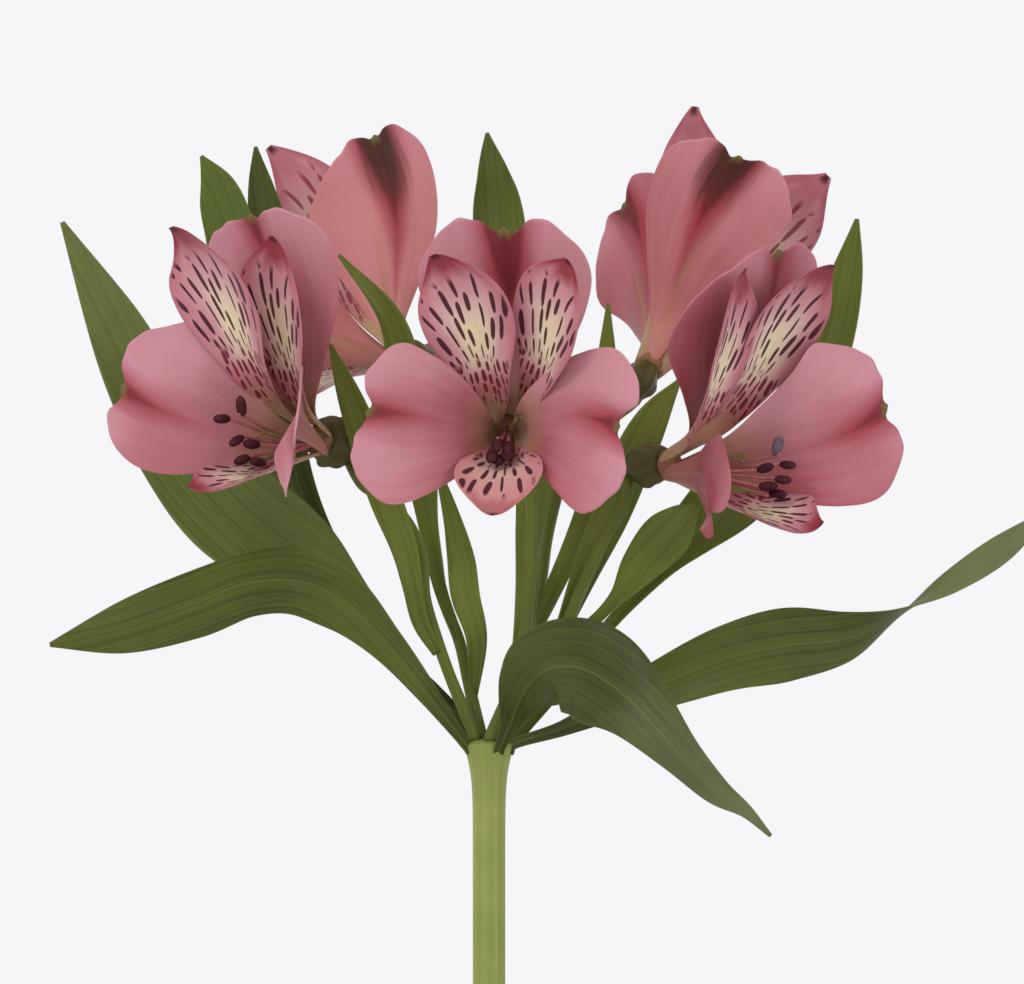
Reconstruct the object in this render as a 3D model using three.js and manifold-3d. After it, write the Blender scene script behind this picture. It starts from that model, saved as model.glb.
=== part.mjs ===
// A potted Peruvian lily: one flowering stem in a plain pot. A whorl of leaves and five flower
// stalks leave the fork at the top of the stem, and each stalk ends in an ovary and a bloom.
// Millimetres, +Z up, origin at the middle of the pot's foot. The blooms face -Y.
import * as THREE from "three";
import { mergeVertices } from "three/addons/utils/BufferGeometryUtils.js";
import Module from "manifold-3d";

const wasm = await Module();
wasm.setup();

// Driving dimensions
const POT_HEIGHT = 112;
const POT_FOOT_RADIUS = 41;
const POT_RIM_RADIUS = 64;
const POT_RIM_HEIGHT = 22;
const POT_RIM_STEP = 4.5;
const POT_WALL = 5;
const POT_EDGE = 1.5;
const POT_SEGMENTS = 30;
const DRAIN_RADIUS = 5;
const DRAIN_DISTANCE = 22;
const SOIL_TOP = 99;
const SOIL_MOUND = 4;
const STEM_ROOT_DEPTH = 42;
const STEM_FOOT_RADIUS = 3.9;
const STEM_RADIUS = 3.4;
const FORK_HEIGHT = 242;
const FORK_RADIUS = 5.2;
const STALK_RADIUS = 1.35;
const OVARY_LENGTH = 9.5;
const OVARY_RADIUS = 3.9;
const OVARY_NECK = 1.6;
const PLATE_RADIUS = 3.1;
const HUB_RADIUS = 1.2;
const ANTHER_LENGTH = 4.4;
const ANTHER_RADIUS = 1.2;
const FILAMENT_RADIUS = 0.5;
const LEAF_THICKNESS = 0.8;
const TEPAL_THICKNESS = 0.7;
const SEAT_GAP = 0.55;
const JOINT_GAP = 0.35;
const BLADE_TIP = 0.3;

// Steps along and across each blade's grid
const OUTER_GRID = [7, 6];
const INNER_GRID = [6, 4];
const LEAF_GRID = [11, 4];
const STEM_LEAF_GRID = [9, 4];
const BRACT_GRID = [8, 2];

const greenLeaf = new THREE.MeshStandardMaterial({ color: 0x59682f, roughness: 0.55, metalness: 0 });
const greenStem = new THREE.MeshStandardMaterial({ color: 0x8b9549, roughness: 0.5, metalness: 0 });
const greenStalk = new THREE.MeshStandardMaterial({ color: 0x66752f, roughness: 0.5, metalness: 0 });
const pinkTepal = new THREE.MeshStandardMaterial({ color: 0xc07f88, roughness: 0.6, metalness: 0 });
const maroonStamen = new THREE.MeshStandardMaterial({ color: 0x5b2630, roughness: 0.6, metalness: 0 });
const terracotta = new THREE.MeshStandardMaterial({ color: 0xb5674a, roughness: 0.9, metalness: 0 });
const soilBrown = new THREE.MeshStandardMaterial({ color: 0x3a2a20, roughness: 1, metalness: 0 });

const part = new THREE.Group();
// Everything above the fork is measured from it.
const head = new THREE.Group();
head.position.z = FORK_HEIGHT;
part.add(head);

function addMesh(parent, name, geometry, material) {
  const mesh = new THREE.Mesh(geometry, material);
  mesh.name = name;
  parent.add(mesh);
  return mesh;
}

// Solids for joining and cutting

function signedVolume(geometry) {
  const position = geometry.attributes.position;
  const corner = [new THREE.Vector3(), new THREE.Vector3(), new THREE.Vector3()];
  let sum = 0;
  for (let i = 0; i < geometry.index.count; i += 3) {
    corner.forEach((point, j) => point.fromBufferAttribute(position, geometry.index.getX(i + j)));
    sum += corner[0].dot(corner[1].clone().cross(corner[2])) / 6;
  }
  return sum;
}

function solidOf(geometry) {
  const bare = geometry.clone();
  bare.deleteAttribute("normal");
  bare.deleteAttribute("uv");
  const merged = mergeVertices(bare, 1e-4);
  const index = [];
  for (let i = 0; i < merged.index.count; i += 3) {
    const [a, b, c] = [0, 1, 2].map((j) => merged.index.getX(i + j));
    if (a !== b && b !== c && c !== a) index.push(a, b, c);
  }
  if (signedVolume(merged) < 0) index.reverse();
  return new wasm.Manifold(
    new wasm.Mesh({
      numProp: 3,
      vertProperties: merged.attributes.position.array,
      triVerts: new Uint32Array(index),
    }),
  );
}

function geometryOf(solid) {
  const mesh = solid.getMesh();
  return new THREE.BufferGeometry()
    .setAttribute("position", new THREE.BufferAttribute(mesh.vertProperties, mesh.numProp))
    .setIndex(new THREE.BufferAttribute(mesh.triVerts, 1));
}

function joined(geometries) {
  return geometryOf(geometries.map(solidOf).reduce((all, next) => all.add(next)));
}

// A closed body through rings of points with equal, even counts. Each end is closed by a strip.
function loft(rings) {
  const count = rings[0].length;
  const half = count / 2;
  const id = (ring, k) => ring * count + (k % count);
  const index = [];
  for (let ring = 0; ring < rings.length - 1; ring++) {
    for (let k = 0; k < count; k++) {
      const [a, b, c, d] = [id(ring, k), id(ring, k + 1), id(ring + 1, k + 1), id(ring + 1, k)];
      // Both faces of a blade are split along the same diagonal.
      if (k < half) index.push(a, b, c, a, c, d);
      else index.push(a, b, d, b, c, d);
    }
  }
  const last = rings.length - 1;
  for (let k = 0; k < half - 1; k++) {
    const far = count - 1 - k;
    index.push(id(0, k), id(0, far), id(0, far - 1), id(0, k), id(0, far - 1), id(0, k + 1));
    index.push(id(last, k), id(last, far - 1), id(last, far));
    index.push(id(last, k), id(last, k + 1), id(last, far - 1));
  }
  const geometry = new THREE.BufferGeometry().setFromPoints(rings.flat()).setIndex(index);
  if (signedVolume(geometry) < 0) index.reverse();
  return geometry.setIndex(index);
}

// Smooth curve through rows of numbers, t from 0 to 1. The first three columns are a place.
function sample(rows, t) {
  const spans = rows.length - 1;
  const k = Math.max(0, Math.min(Math.floor(t * spans), spans - 1));
  const f = t * spans - k;
  const row = (i) => {
    if (i < 0) return rows[0].map((value, c) => 2 * value - rows[1][c]);
    if (i > spans) return rows[spans].map((value, c) => 2 * value - rows[spans - 1][c]);
    return rows[i];
  };
  const [p, q, r, s] = [row(k - 1), row(k), row(k + 1), row(k + 2)];
  return q.map((value, c) => {
    const a = 2 * value;
    const b = r[c] - p[c];
    const d = 2 * p[c] - 5 * q[c] + 4 * r[c] - s[c];
    const e = 3 * q[c] - p[c] - 3 * r[c] + s[c];
    return (a + b * f + d * f * f + e * f * f * f) / 2;
  });
}

const place = (row) => new THREE.Vector3(row[0], row[1], row[2]);

// Blades: leaves and tepals. Each row is x, y, z, half width, cup, roll in degrees.
// shape.facing is the way the face looks, or shape.focus the point that it looks at.
// round shortens the margins at the tip, notch cuts into it, skew slants it, and wave ruffles
// the margins. crease sinks the face below the notch.

function bladePoint(rows, shape, t, v) {
  const fromNotch = v - (shape.notchAt ?? 0);
  const notch = (shape.notch ?? 0) * Math.exp(-((fromNotch / (shape.notchWide ?? 0.2)) ** 2));
  const rounding = (shape.round ?? 0) * (1 - Math.sqrt(1 - v * v));
  const reach = 1 - rounding - notch + (shape.skew ?? 0) * v;
  const along = t * reach;
  const row = sample(rows, along);
  const centre = place(row);
  const width = Math.max(row[3], BLADE_TIP);
  const tangent = place(sample(rows, along + 0.01)).sub(place(sample(rows, along - 0.01))).normalize();
  const look = shape.focus ? shape.focus.clone().sub(centre) : shape.facing.clone();
  const normal = look.addScaledVector(tangent, -look.dot(tangent)).normalize();
  normal.applyAxisAngle(tangent, THREE.MathUtils.degToRad(row[5]));
  const side = tangent.clone().cross(normal);
  const phase = (shape.waves ?? 1) * Math.PI * 2 * along + (v > 0 ? 1.7 : 0);
  const ruffle = (shape.wave ?? 0) * Math.sin(phase) * Math.sin(Math.PI * along);
  const crease = (shape.crease ?? 0) * along ** 3 * Math.exp(-((fromNotch / 0.25) ** 2));
  const rise = width * row[4] * v * v + ruffle * v * v - crease;
  const slope = 2 * (row[4] + ruffle / width) * v;
  const point = centre.addScaledVector(side, width * v).addScaledVector(normal, rise);
  return { point, normal: normal.addScaledVector(side, -slope).normalize() };
}

function blade(rows, shape, [lengthSteps, widthSteps], thickness) {
  const rings = [];
  for (let i = 0; i <= lengthSteps; i++) {
    const front = [];
    const back = [];
    for (let j = 0; j <= widthSteps; j++) {
      const { point, normal } = bladePoint(rows, shape, i / lengthSteps, (2 * j) / widthSteps - 1);
      front.push(point.clone().addScaledVector(normal, thickness / 2));
      back.push(point.clone().addScaledVector(normal, -thickness / 2));
    }
    rings.push([...front, ...back.reverse()]);
  }
  return loft(rings);
}

// Round stalks. Each row is x, y, z, radius.
function stalk(rows, steps, sides) {
  const rings = [];
  let across = new THREE.Vector3(0.3, 1, 0.1);
  for (let i = 0; i <= steps; i++) {
    const t = i / steps;
    const row = sample(rows, t);
    const tangent = place(sample(rows, t + 0.01)).sub(place(sample(rows, t - 0.01))).normalize();
    across = across.clone().addScaledVector(tangent, -across.dot(tangent)).normalize();
    const other = tangent.clone().cross(across);
    const ring = [];
    for (let k = 0; k < sides; k++) {
      const angle = (k / sides) * Math.PI * 2;
      ring.push(
        place(row)
          .addScaledVector(across, row[3] * Math.cos(angle))
          .addScaledVector(other, row[3] * Math.sin(angle)),
      );
    }
    rings.push(ring);
  }
  return loft(rings);
}

// The bloom. Rows are in the bloom's own frame: forward, sideways and up from the ovary's top.

const OUTER_UPPER = [
  [0.6, 0, 2.65, 1.3, 0.28, 0],
  [8.6, 0, 8.4, 4.4, 0.4, 0],
  [13.4, 0, 17.4, 10, 0.2, 0],
  [17.2, 0, 27.4, 16, -0.05, 0],
  [20.8, 0, 37.4, 18.2, -0.12, 0],
  [23.6, 0, 48, 16.4, -0.15, 0],
];
const OUTER_SIDE = [
  [0.6, 2.3, -1.35, 1.3, 0.28, 0],
  [12.5, 5.2, 1, 4.4, 0.4, 0],
  [20.8, 9.4, 3.2, 9.2, 0.26, 0],
  [27.8, 14.4, 5.2, 13.6, 0.12, 0],
  [32.8, 19.8, 7, 16.8, 0.02, 0],
  [37.2, 26.6, 9, 15.6, -0.08, 0],
];
const INNER_UPPER = [
  [0.6, 2.3, 1.35, 1.3, 0.28, 0],
  [12, 3.8, 6.6, 2.9, 0.5, 0],
  [20, 5.8, 14, 5.6, 0.4, 0],
  [26, 7.8, 23.4, 9.2, 0.26, 0],
  [30.4, 10.6, 33, 8.2, 0.2, 0],
  [33.6, 15.2, 43, 0.9, 0.1, 0],
];
const INNER_LOWER = [
  [0.6, 0, -2.65, 1.3, 0.28, 0],
  [12.5, 0, -4, 3, 0.5, 0],
  [20.8, 0, -5, 5.8, 0.4, 0],
  [28, 0, -6.2, 9, 0.3, 0],
  [34.4, 0, -8.4, 8.4, 0.25, 0],
  [40, 0, -12, 0.9, 0.1, 0],
];
const BLOOM_FOCUS = new THREE.Vector3(52, 0, 8);
const OUTER_SHAPE = {
  focus: BLOOM_FOCUS, round: 0.27, notch: 0.06, notchAt: 0, notchWide: 0.26, skew: 0, wave: 0.7, waves: 1.6,
};
const UPPER_SHAPE = { ...OUTER_SHAPE, crease: 1.6 };
const SIDE_SHAPE = { ...OUTER_SHAPE, crease: 1.2 };
const INNER_SHAPE = { focus: BLOOM_FOCUS };

function mirroredRows(rows) {
  return rows.map(([x, y, z, width, cup, roll]) => [x, -y, z, width, cup, -roll]);
}

// A tepal set a little differently: its tip moved, swung outwards, dipped, turned about the forward
// axis, and made longer, wider or rolled about its own midrib. The claw stays in its place.
function setTepal(rows, { turn = 0, swing = 0, dip = 0, long = 1, wide = 1, roll = 0, tip = [0, 0, 0] }) {
  const [forward, side, up] = [0, 1, 2].map((axis) => new THREE.Vector3().setComponent(axis, 1));
  const shift = new THREE.Vector3(...tip);
  return rows.map((row, i) => {
    const away = Math.min(1, row[0] / 10);
    const point = place(row)
      .addScaledVector(shift, (i / (rows.length - 1)) ** 3)
      .applyAxisAngle(up, THREE.MathUtils.degToRad(swing * away))
      .applyAxisAngle(side, THREE.MathUtils.degToRad(dip * away))
      .applyAxisAngle(forward, THREE.MathUtils.degToRad(turn))
      .multiplyScalar(1 + (long - 1) * away);
    const width = row[3] * (1 + (wide - 1) * away);
    return [point.x, point.y, point.z, width, row[4], row[5] + roll * away];
  });
}

// The six tepals on a small plate that sits on the ovary.
function bloomGeometry(settings) {
  const tepals = {
    upper: [OUTER_UPPER, UPPER_SHAPE, OUTER_GRID],
    sidePlus: [OUTER_SIDE, SIDE_SHAPE, OUTER_GRID],
    sideMinus: [mirroredRows(OUTER_SIDE), SIDE_SHAPE, OUTER_GRID],
    lower: [INNER_LOWER, INNER_SHAPE, INNER_GRID],
    innerPlus: [INNER_UPPER, INNER_SHAPE, INNER_GRID],
    innerMinus: [mirroredRows(INNER_UPPER), INNER_SHAPE, INNER_GRID],
  };
  const edge = PLATE_RADIUS - 0.2;
  const plate = stalk([[0, 0, 0, edge], [0.6, 0, 0, PLATE_RADIUS], [1.2, 0, 0, edge]], 2, 12);
  const blades = Object.entries(tepals).map(([key, [rows, shape, grid]]) => {
    const set = settings[key] ?? {};
    return blade(setTepal(rows, set), { ...shape, ...set }, grid, TEPAL_THICKNESS);
  });
  return joined([plate, ...blades]);
}

// Where each filament ends, forward, sideways and up, and how far its anther leans up in degrees
const ANTHERS = {
  plain: [
    [23.1, -3.9, 3, 15], [21.6, 0.3, 4, 17], [22.6, 3.6, 0.7, 12], [20.6, -2.4, -1.6, 8],
    [19.2, 1.2, -2.5, 6], [17.2, -0.7, -2.7, 5],
  ],
  left: [
    [25.9, -3, 4.1, 0], [23.6, -1.4, 4.7, 75], [23.7, -1, 0.6, -25], [20.2, 0.4, -1.1, 5],
    [23, 0.2, -3.6, -15], [19.9, 2, -4.9, 10],
  ],
  centre: [
    [23.2, -0.5, 1.7, -35], [22.1, 1.7, 1, -30], [24.3, -1.6, -0.8, -25], [23.6, 1.6, -0.6, -20],
    [22.6, -0.2, -2.3, -6], [20.4, 2, -1.6, -4],
  ],
  right: [
    [25.8, 3.4, 2, 70], [26.9, 3.6, 0.3, -5], [26.4, 2.4, -2.7, -5], [24.5, 3, -5.7, -5],
    [23.2, 1.2, -4.2, 0], [22.7, 1.4, -1, 15],
  ],
};
const STYLES = {
  plain: [[9, 0, 0.2], [18.5, 0.4, 1.6]],
  centre: [[8, 1.2, 1.2], [13.6, 2.9, 4.8]],
};

function stamenRows([x, y, z, lean]) {
  const root = 0.62 / Math.hypot(y, z);
  const sag = 0.12 * (z + 6);
  const tilt = THREE.MathUtils.degToRad(lean);
  const onAnther = (distance) => [x + distance * Math.cos(tilt), y, z + distance * Math.sin(tilt)];
  return [
    [2.3, y * root, z * root, FILAMENT_RADIUS],
    [x * 0.5, y * 0.47, z * 0.47 - sag, FILAMENT_RADIUS],
    [...onAnther(0), FILAMENT_RADIUS],
    [...onAnther(ANTHER_LENGTH / 2), ANTHER_RADIUS],
    [...onAnther(ANTHER_LENGTH), 0.35],
  ];
}

// The six stamens and the style stand on one hub inside the ring of claws.
function stamensGeometry(name) {
  const hub = stalk([[1.6, 0, 0, HUB_RADIUS], [3, 0, 0, HUB_RADIUS], [4.4, 0, 0, HUB_RADIUS - 0.25]], 2, 6);
  const [middle, top] = STYLES[name] ?? STYLES.plain;
  const style = stalk([[3.4, 0, 0, 0.5], [...middle, 0.5], [...top, 0.7]], 3, 4);
  const stamens = (ANTHERS[name] ?? ANTHERS.plain).map((row) => stalk(stamenRows(row), 5, 4));
  return joined([hub, style, ...stamens]);
}

// Each bloom's foot from the fork in mm, and its turn: yaw from -Y towards +X, pitch up and roll.
// bend curves the ovary down below the foot, and set moves and shapes single tepals.
const BLOOMS = {
  left: {
    foot: [-34.6, -6, 63.9], yaw: -40, pitch: 0, roll: -3, bend: 75,
    set: {
      upper: {
        turn: 1.5, swing: 10.5, dip: 0.4, long: 0.98, wide: 0.98, roll: 12, tip: [0.5, -7.6, -0.3],
        round: 0.25, notch: 0.04, notchAt: 0.13, notchWide: 0.3, skew: 0.01,
      },
      innerMinus: {
        turn: -3.2, swing: 12.3, dip: -3.7, long: 1.16, wide: 1.24, roll: -2.5, tip: [2.5, 0.4, -8.2],
      },
      innerPlus: {
        turn: 6.3, swing: 8.2, dip: -2.1, long: 0.98, wide: 0.98, roll: 6.1, tip: [0.9, -3.1, -2.8],
      },
      sideMinus: {
        turn: -2.7, swing: 4.8, dip: 2.9, long: 0.98, wide: 1.07, roll: 11.7, tip: [0.5, -1.1, 6.1],
        round: 0.38, notch: 0.08, notchAt: -0.15, notchWide: 0.25, skew: 0.06,
      },
      lower: { turn: -0.8, swing: 4.1, dip: 7.2, long: 0.95, wide: 0.81, roll: 2.1, tip: [0.6, -5.4, 5.8] },
      sidePlus: {
        turn: -14.5, swing: 1.6, dip: -16.2, long: 1.22, wide: 0.71, roll: -9.6, tip: [3.3, 1.2, -16.7],
        round: 0.25, notch: 0.09, notchAt: 0, notchWide: 0.26, skew: 0.07,
      },
    },
  },
  left_back: {
    foot: [-18.4, 20, 82], yaw: -142, pitch: 3, roll: 4, bend: 50,
    set: {
      upper: {
        turn: -1, swing: -12.7, dip: -0.4, long: 0.95, wide: 0.84, roll: -32, tip: [-1.2, 7.1, 0.5],
        round: 0.26, notch: 0.05, notchAt: -0.34, notchWide: 0.22, skew: -0.13,
      },
      sideMinus: { turn: 25, swing: -18, dip: 10 },
      innerPlus: {
        turn: -1.2, swing: -13.9, dip: -8.3, long: 1.03, wide: 0.92, roll: -31.4, tip: [1.4, 7.6, -5.9],
      },
      sidePlus: { turn: 6 },
    },
  },
  centre: {
    foot: [4, -14, 66.4], yaw: -4, pitch: -10, roll: -2, bend: 40,
    set: {
      upper: {
        turn: -0.8, swing: 2, dip: 1.6, long: 0.93, roll: 0.2, tip: [0.2, -3.6, 5.4],
        round: 0.3, notch: 0.1, notchAt: 0.05, notchWide: 0.29, skew: -0.01,
      },
      innerMinus: { turn: 15.5, swing: 16.8, dip: -7.3, roll: -6.6, tip: [1.6, 2.1, -4.6] },
      innerPlus: {
        turn: 2.3, swing: 7.2, dip: -3.2, long: 1.09, wide: 0.97, roll: -28.1, tip: [1.8, -5.1, -8.2],
      },
      sideMinus: {
        turn: 1.1, swing: 3.4, dip: -0.4, long: 1.04, wide: 0.99, roll: 6.3, tip: [1.4, -3.4, -1.3],
        round: 0.23, notch: 0.09, notchAt: 0.11, notchWide: 0.29, skew: -0.04,
      },
      sidePlus: {
        turn: -3, swing: -1, dip: -6.8, long: 1.04, wide: 1.02, roll: -8.1, tip: [1.1, 0.9, -8.4],
        round: 0.22, notch: 0.13, notchAt: -0.12, notchWide: 0.26, skew: 0.03,
      },
      lower: { turn: 3.3, swing: 1, dip: -2.9, long: 0.94, wide: 0.96, roll: 2.2, tip: [3.6, -1.4, -2.5] },
    },
  },
  right: {
    foot: [36.7, -6, 58.9], yaw: 52.5, pitch: -1, roll: 3, bend: 40,
    set: {
      upper: {
        turn: 3.8, swing: 3.3, dip: 6, long: 0.95, wide: 1.16, roll: -11.4, tip: [2.1, -3.7, 2.8],
        round: 0.37, notch: 0.07, notchAt: 0.32, notchWide: 0.23, skew: 0.11,
      },
      innerPlus: { turn: 11.4, swing: 6.9, dip: -6.8, long: 1.03, roll: -6.8, tip: [10.6, -8.3, -8.8] },
      innerMinus: {
        turn: -2.4, swing: -14.2, dip: 0.4, long: 0.95, wide: 0.97, roll: -6.2, tip: [1, 6.9, -0.1],
      },
      sidePlus: {
        turn: 3.3, swing: -3.7, dip: 4.4, long: 1.04, wide: 1.11, roll: 3.6, tip: [0.1, 0.5, 6.7],
        round: 0.32, notch: 0.07, notchAt: 0.1, notchWide: 0.31, skew: -0.06,
      },
      lower: {
        turn: 2.8, swing: -1.1, dip: 12.1, long: 1.04, wide: 0.99, roll: 3.9, tip: [-2.3, 3.4, 7.6],
      },
      sideMinus: {
        turn: 19.8, swing: -13.1, dip: -4.3, long: 1.15, wide: 0.76, roll: -18.6, tip: [-3.9, 9.1, -11.1],
        round: 0.3, notch: 0.09, notchAt: -0.14, notchWide: 0.27, skew: 0.01,
      },
    },
  },
  right_back: {
    foot: [33.5, 18, 79], yaw: 152, pitch: 29, roll: 30, bend: 50,
    set: {
      upper: {
        turn: 3, swing: 14.6, dip: 1.1, long: 1.01, wide: 0.84, roll: 14.7, tip: [0.1, -4.7, -2.2],
        round: 0.19, notch: 0.06, notchAt: 0.12, notchWide: 0.3, skew: -0.03,
      },
      innerPlus: { turn: -0.9, swing: 3.4, wide: 0.97, roll: -1.1, tip: [0.3, -1.6, 1] },
      innerMinus: {
        turn: 0.7, swing: -2.2, dip: -0.5, long: 1.02, wide: 1.01, roll: -0.6, tip: [-0.9, 0.8, -1],
      },
      sidePlus: {
        turn: -1.5, swing: 3.3, dip: 3.1, long: 1.01, wide: 1.11, roll: 16.4, tip: [3.8, -1, -1.9],
        round: 0.3, notch: 0.1, notchAt: -0.33, notchWide: 0.24, skew: -0.07,
      },
    },
  },
};

// The bloom's frame in the head's frame: forward, side and up axes, and the foot.
function bloomAxes({ yaw, pitch, roll }) {
  const [y, p, r] = [yaw, pitch, roll].map(THREE.MathUtils.degToRad);
  const ahead = new THREE.Vector3(Math.sin(y), -Math.cos(y), 0);
  const forward = ahead.clone().multiplyScalar(Math.cos(p)).setZ(Math.sin(p));
  const level = ahead.clone().multiplyScalar(-Math.sin(p)).setZ(Math.cos(p));
  const up = level.clone().applyAxisAngle(forward, r);
  return { forward, level, up, side: up.clone().cross(forward) };
}

function bloomMatrix(pose) {
  const { forward, side, up } = bloomAxes(pose);
  return new THREE.Matrix4().makeBasis(forward, side, up).setPosition(...pose.foot);
}

// Stalks: routes from the fork, without the ovary, and the bracts that grow from them. swell is how
// much stouter the ovary is than the plain one.
const STALKS = {
  left: {
    swell: 1.5,
    route: [
      [-2.58, -0.94, 1.1], [-7.6, -2.6, 13], [-11, -3.6, 22.5], [-13.4, -4.2, 31], [-14, -4.6, 39],
      [-16.4, -4.6, 45.6], [-21.4, -4, 51.6], [-26.4, -3.4, 54.6],
    ],
    bracts: [
      [
        [-10.8, -4.2, 19.4, 1, 0.3, 0], [-14.2, -6.6, 26, 1.8, 0.2, 0], [-16, -8, 34, 2.2, 0.15, 0],
        [-17.8, -8.8, 42, 2.8, 0.15, 0], [-21.6, -9.2, 52, 3.4, 0.1, 0], [-25.6, -9, 63.6, 3.4, 0.1, 0],
        [-29.4, -8, 74, 2.4, 0.1, 0], [-33.2, -7, 84, 0.4, 0.1, 0],
      ],
    ],
  },
  left_back: {
    route: [
      [-1.69, 2.17, 1.1], [-4.4, 5, 13], [-6.4, 8, 21.7], [-9.8, 11, 30.5], [-11.2, 14, 39],
      [-12.2, 17, 47.4], [-12.2, 20, 57.6], [-11.6, 22, 69],
    ],
    bracts: [
      [
        [-6, 7.4, 21, 1, 0.3, 0], [-10.4, 8.4, 33, 1.4, 0.2, 0], [-13, 9.6, 46, 2, 0.15, 0],
        [-15, 10, 62, 3.6, 0.1, 0], [-17.4, 9, 76, 3.8, 0.1, 0], [-21, 6, 90, 2.6, 0.1, 10],
        [-31.6, 1, 103, 0.4, 0.1, 20],
      ],
      [
        [-3.4, 4.2, 10.4, 1, 0.3, 0], [-2.6, 3, 22, 2.2, 0.2, 0], [-4.9, 2, 31, 3, 0.15, 0],
        [-5.9, 2, 39, 2.9, 0.1, 0], [-7.9, 3, 48, 1.8, 0.1, 0], [-11.4, 4, 60, 0.4, 0.1, 0],
      ],
    ],
  },
  centre: {
    route: [
      [0.1, -2.75, 1.1], [4.2, -3.4, 11.2], [7, -2.6, 20], [8.4, -1.6, 31], [9, -1.4, 43], [8.4, -3.6, 54],
    ],
    bracts: [
      [
        [5, -2, 13, 1, 0.3, 0], [7, 1.4, 22, 2, 0.2, 0], [8, 3, 34.6, 2.4, 0.15, 0],
        [7.8, 4, 47.2, 2.2, 0.1, 0], [7.4, 4.4, 57.8, 1.4, 0.1, 0], [7, 4.6, 66.2, 0.4, 0.1, 0],
      ],
    ],
  },
  right: {
    swell: 1.2,
    route: [
      [2.64, -0.76, 1.1], [8.6, -1.4, 10.4], [13.8, -3.6, 20], [19, -5, 32], [24, -4.6, 43],
      [28.4, -3.2, 51],
    ],
    bracts: [
      [
        [13.6, -3.2, 20, 1, 0.3, 0], [20, -1, 35.7, 2.8, 0.2, 0], [25.4, 3.4, 48, 4, 0.15, 0],
        [30, 6.6, 59.4, 4.4, 0.1, 0], [34.6, 7.4, 68.7, 3.4, 0.1, 0], [40.4, 8, 77, 0.4, 0.1, 0],
      ],
      [
        [14.8, -4, 21, 1, 0.3, 0], [20.6, -6, 25, 1.2, 0.2, 0], [26.4, -7.6, 30.8, 1.6, 0.15, 0],
        [31.4, -9, 37.6, 4, 0.1, 0], [36.6, -10, 43.6, 5.2, 0.1, 0], [40.4, -10, 47.6, 3.4, 0.1, 0],
        [43.6, -9.6, 50.4, 0.4, 0.1, 0],
      ],
    ],
  },
  right_back: {
    route: [
      [1.54, 2.28, 1.1], [4.9, 5, 10.4], [8, 8, 20], [10.6, 11, 32.3], [12.8, 14, 46], [16.4, 14.6, 57.6],
      [23.4, 13.4, 66.4],
    ],
    bracts: [
      [
        [8.4, 7.8, 21, 1, 0.3, 0], [12.4, 8.4, 30, 1.8, 0.2, 0], [17, 9, 40, 2.2, 0.15, 0],
        [21.4, 9.4, 50.6, 2.8, 0.1, 0], [24, 9.8, 63, 3, 0.1, 0], [24.8, 10, 78, 2.4, 0.1, 0],
        [25.2, 10, 93, 0.4, 0.1, 0],
      ],
    ],
  },
};

const TOWARDS_VIEWER = new THREE.Vector3(0, -1, 0);
const LEAF_SHAPE = { facing: TOWARDS_VIEWER, wave: 0.6, waves: 2.5 };

// The stalk swells into the ovary, which curves up into the bloom and whose top is square to it.
function stalkGeometry(name) {
  const { route, bracts, swell = 1 } = STALKS[name];
  const stoutest = OVARY_RADIUS * swell;
  const pose = BLOOMS[name];
  const { forward, level } = bloomAxes(pose);
  const behind = (distance) => {
    const bend = THREE.MathUtils.degToRad(pose.bend);
    const curved = Math.max(0.001, distance - OVARY_NECK);
    const turned = (bend * curved) / OVARY_LENGTH;
    const reach = distance - curved + (Math.sin(turned) / turned) * curved;
    const drop = ((1 - Math.cos(turned)) / turned) * curved;
    const foot = new THREE.Vector3(...pose.foot);
    return foot.addScaledVector(forward, -reach).addScaledVector(level, -drop).toArray();
  };
  const stem = route.map((point) => [...point, STALK_RADIUS]);
  const ovary = [
    [...behind(OVARY_LENGTH * 1.02), STALK_RADIUS],
    [...behind(OVARY_LENGTH * 0.86), stoutest * 0.5],
    [...behind(OVARY_LENGTH * 0.66), stoutest * 0.86],
    [...behind(OVARY_LENGTH * 0.42), stoutest],
    [...behind(OVARY_LENGTH * 0.2), stoutest * 0.88],
    [...behind(SEAT_GAP), stoutest * 0.66],
  ];
  const neck = [OVARY_LENGTH, OVARY_LENGTH * 0.7].map((distance) => [...behind(distance), STALK_RADIUS]);
  return joined([
    stalk([...stem, ...neck], 11, 6),
    stalk(ovary, 6, 10),
    ...bracts.map((rows) => blade(rows, LEAF_SHAPE, BRACT_GRID, LEAF_THICKNESS)),
  ]);
}

for (const [name, pose] of Object.entries(BLOOMS)) {
  addMesh(head, `stalk_${name}`, stalkGeometry(name), greenStalk);
  const bloom = new THREE.Group();
  bloom.applyMatrix4(bloomMatrix(pose));
  head.add(bloom);
  addMesh(bloom, `bloom_${name}`, bloomGeometry(pose.set), pinkTepal);
  addMesh(bloom, `stamens_${name}`, stamensGeometry(name), maroonStamen);
}

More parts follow.
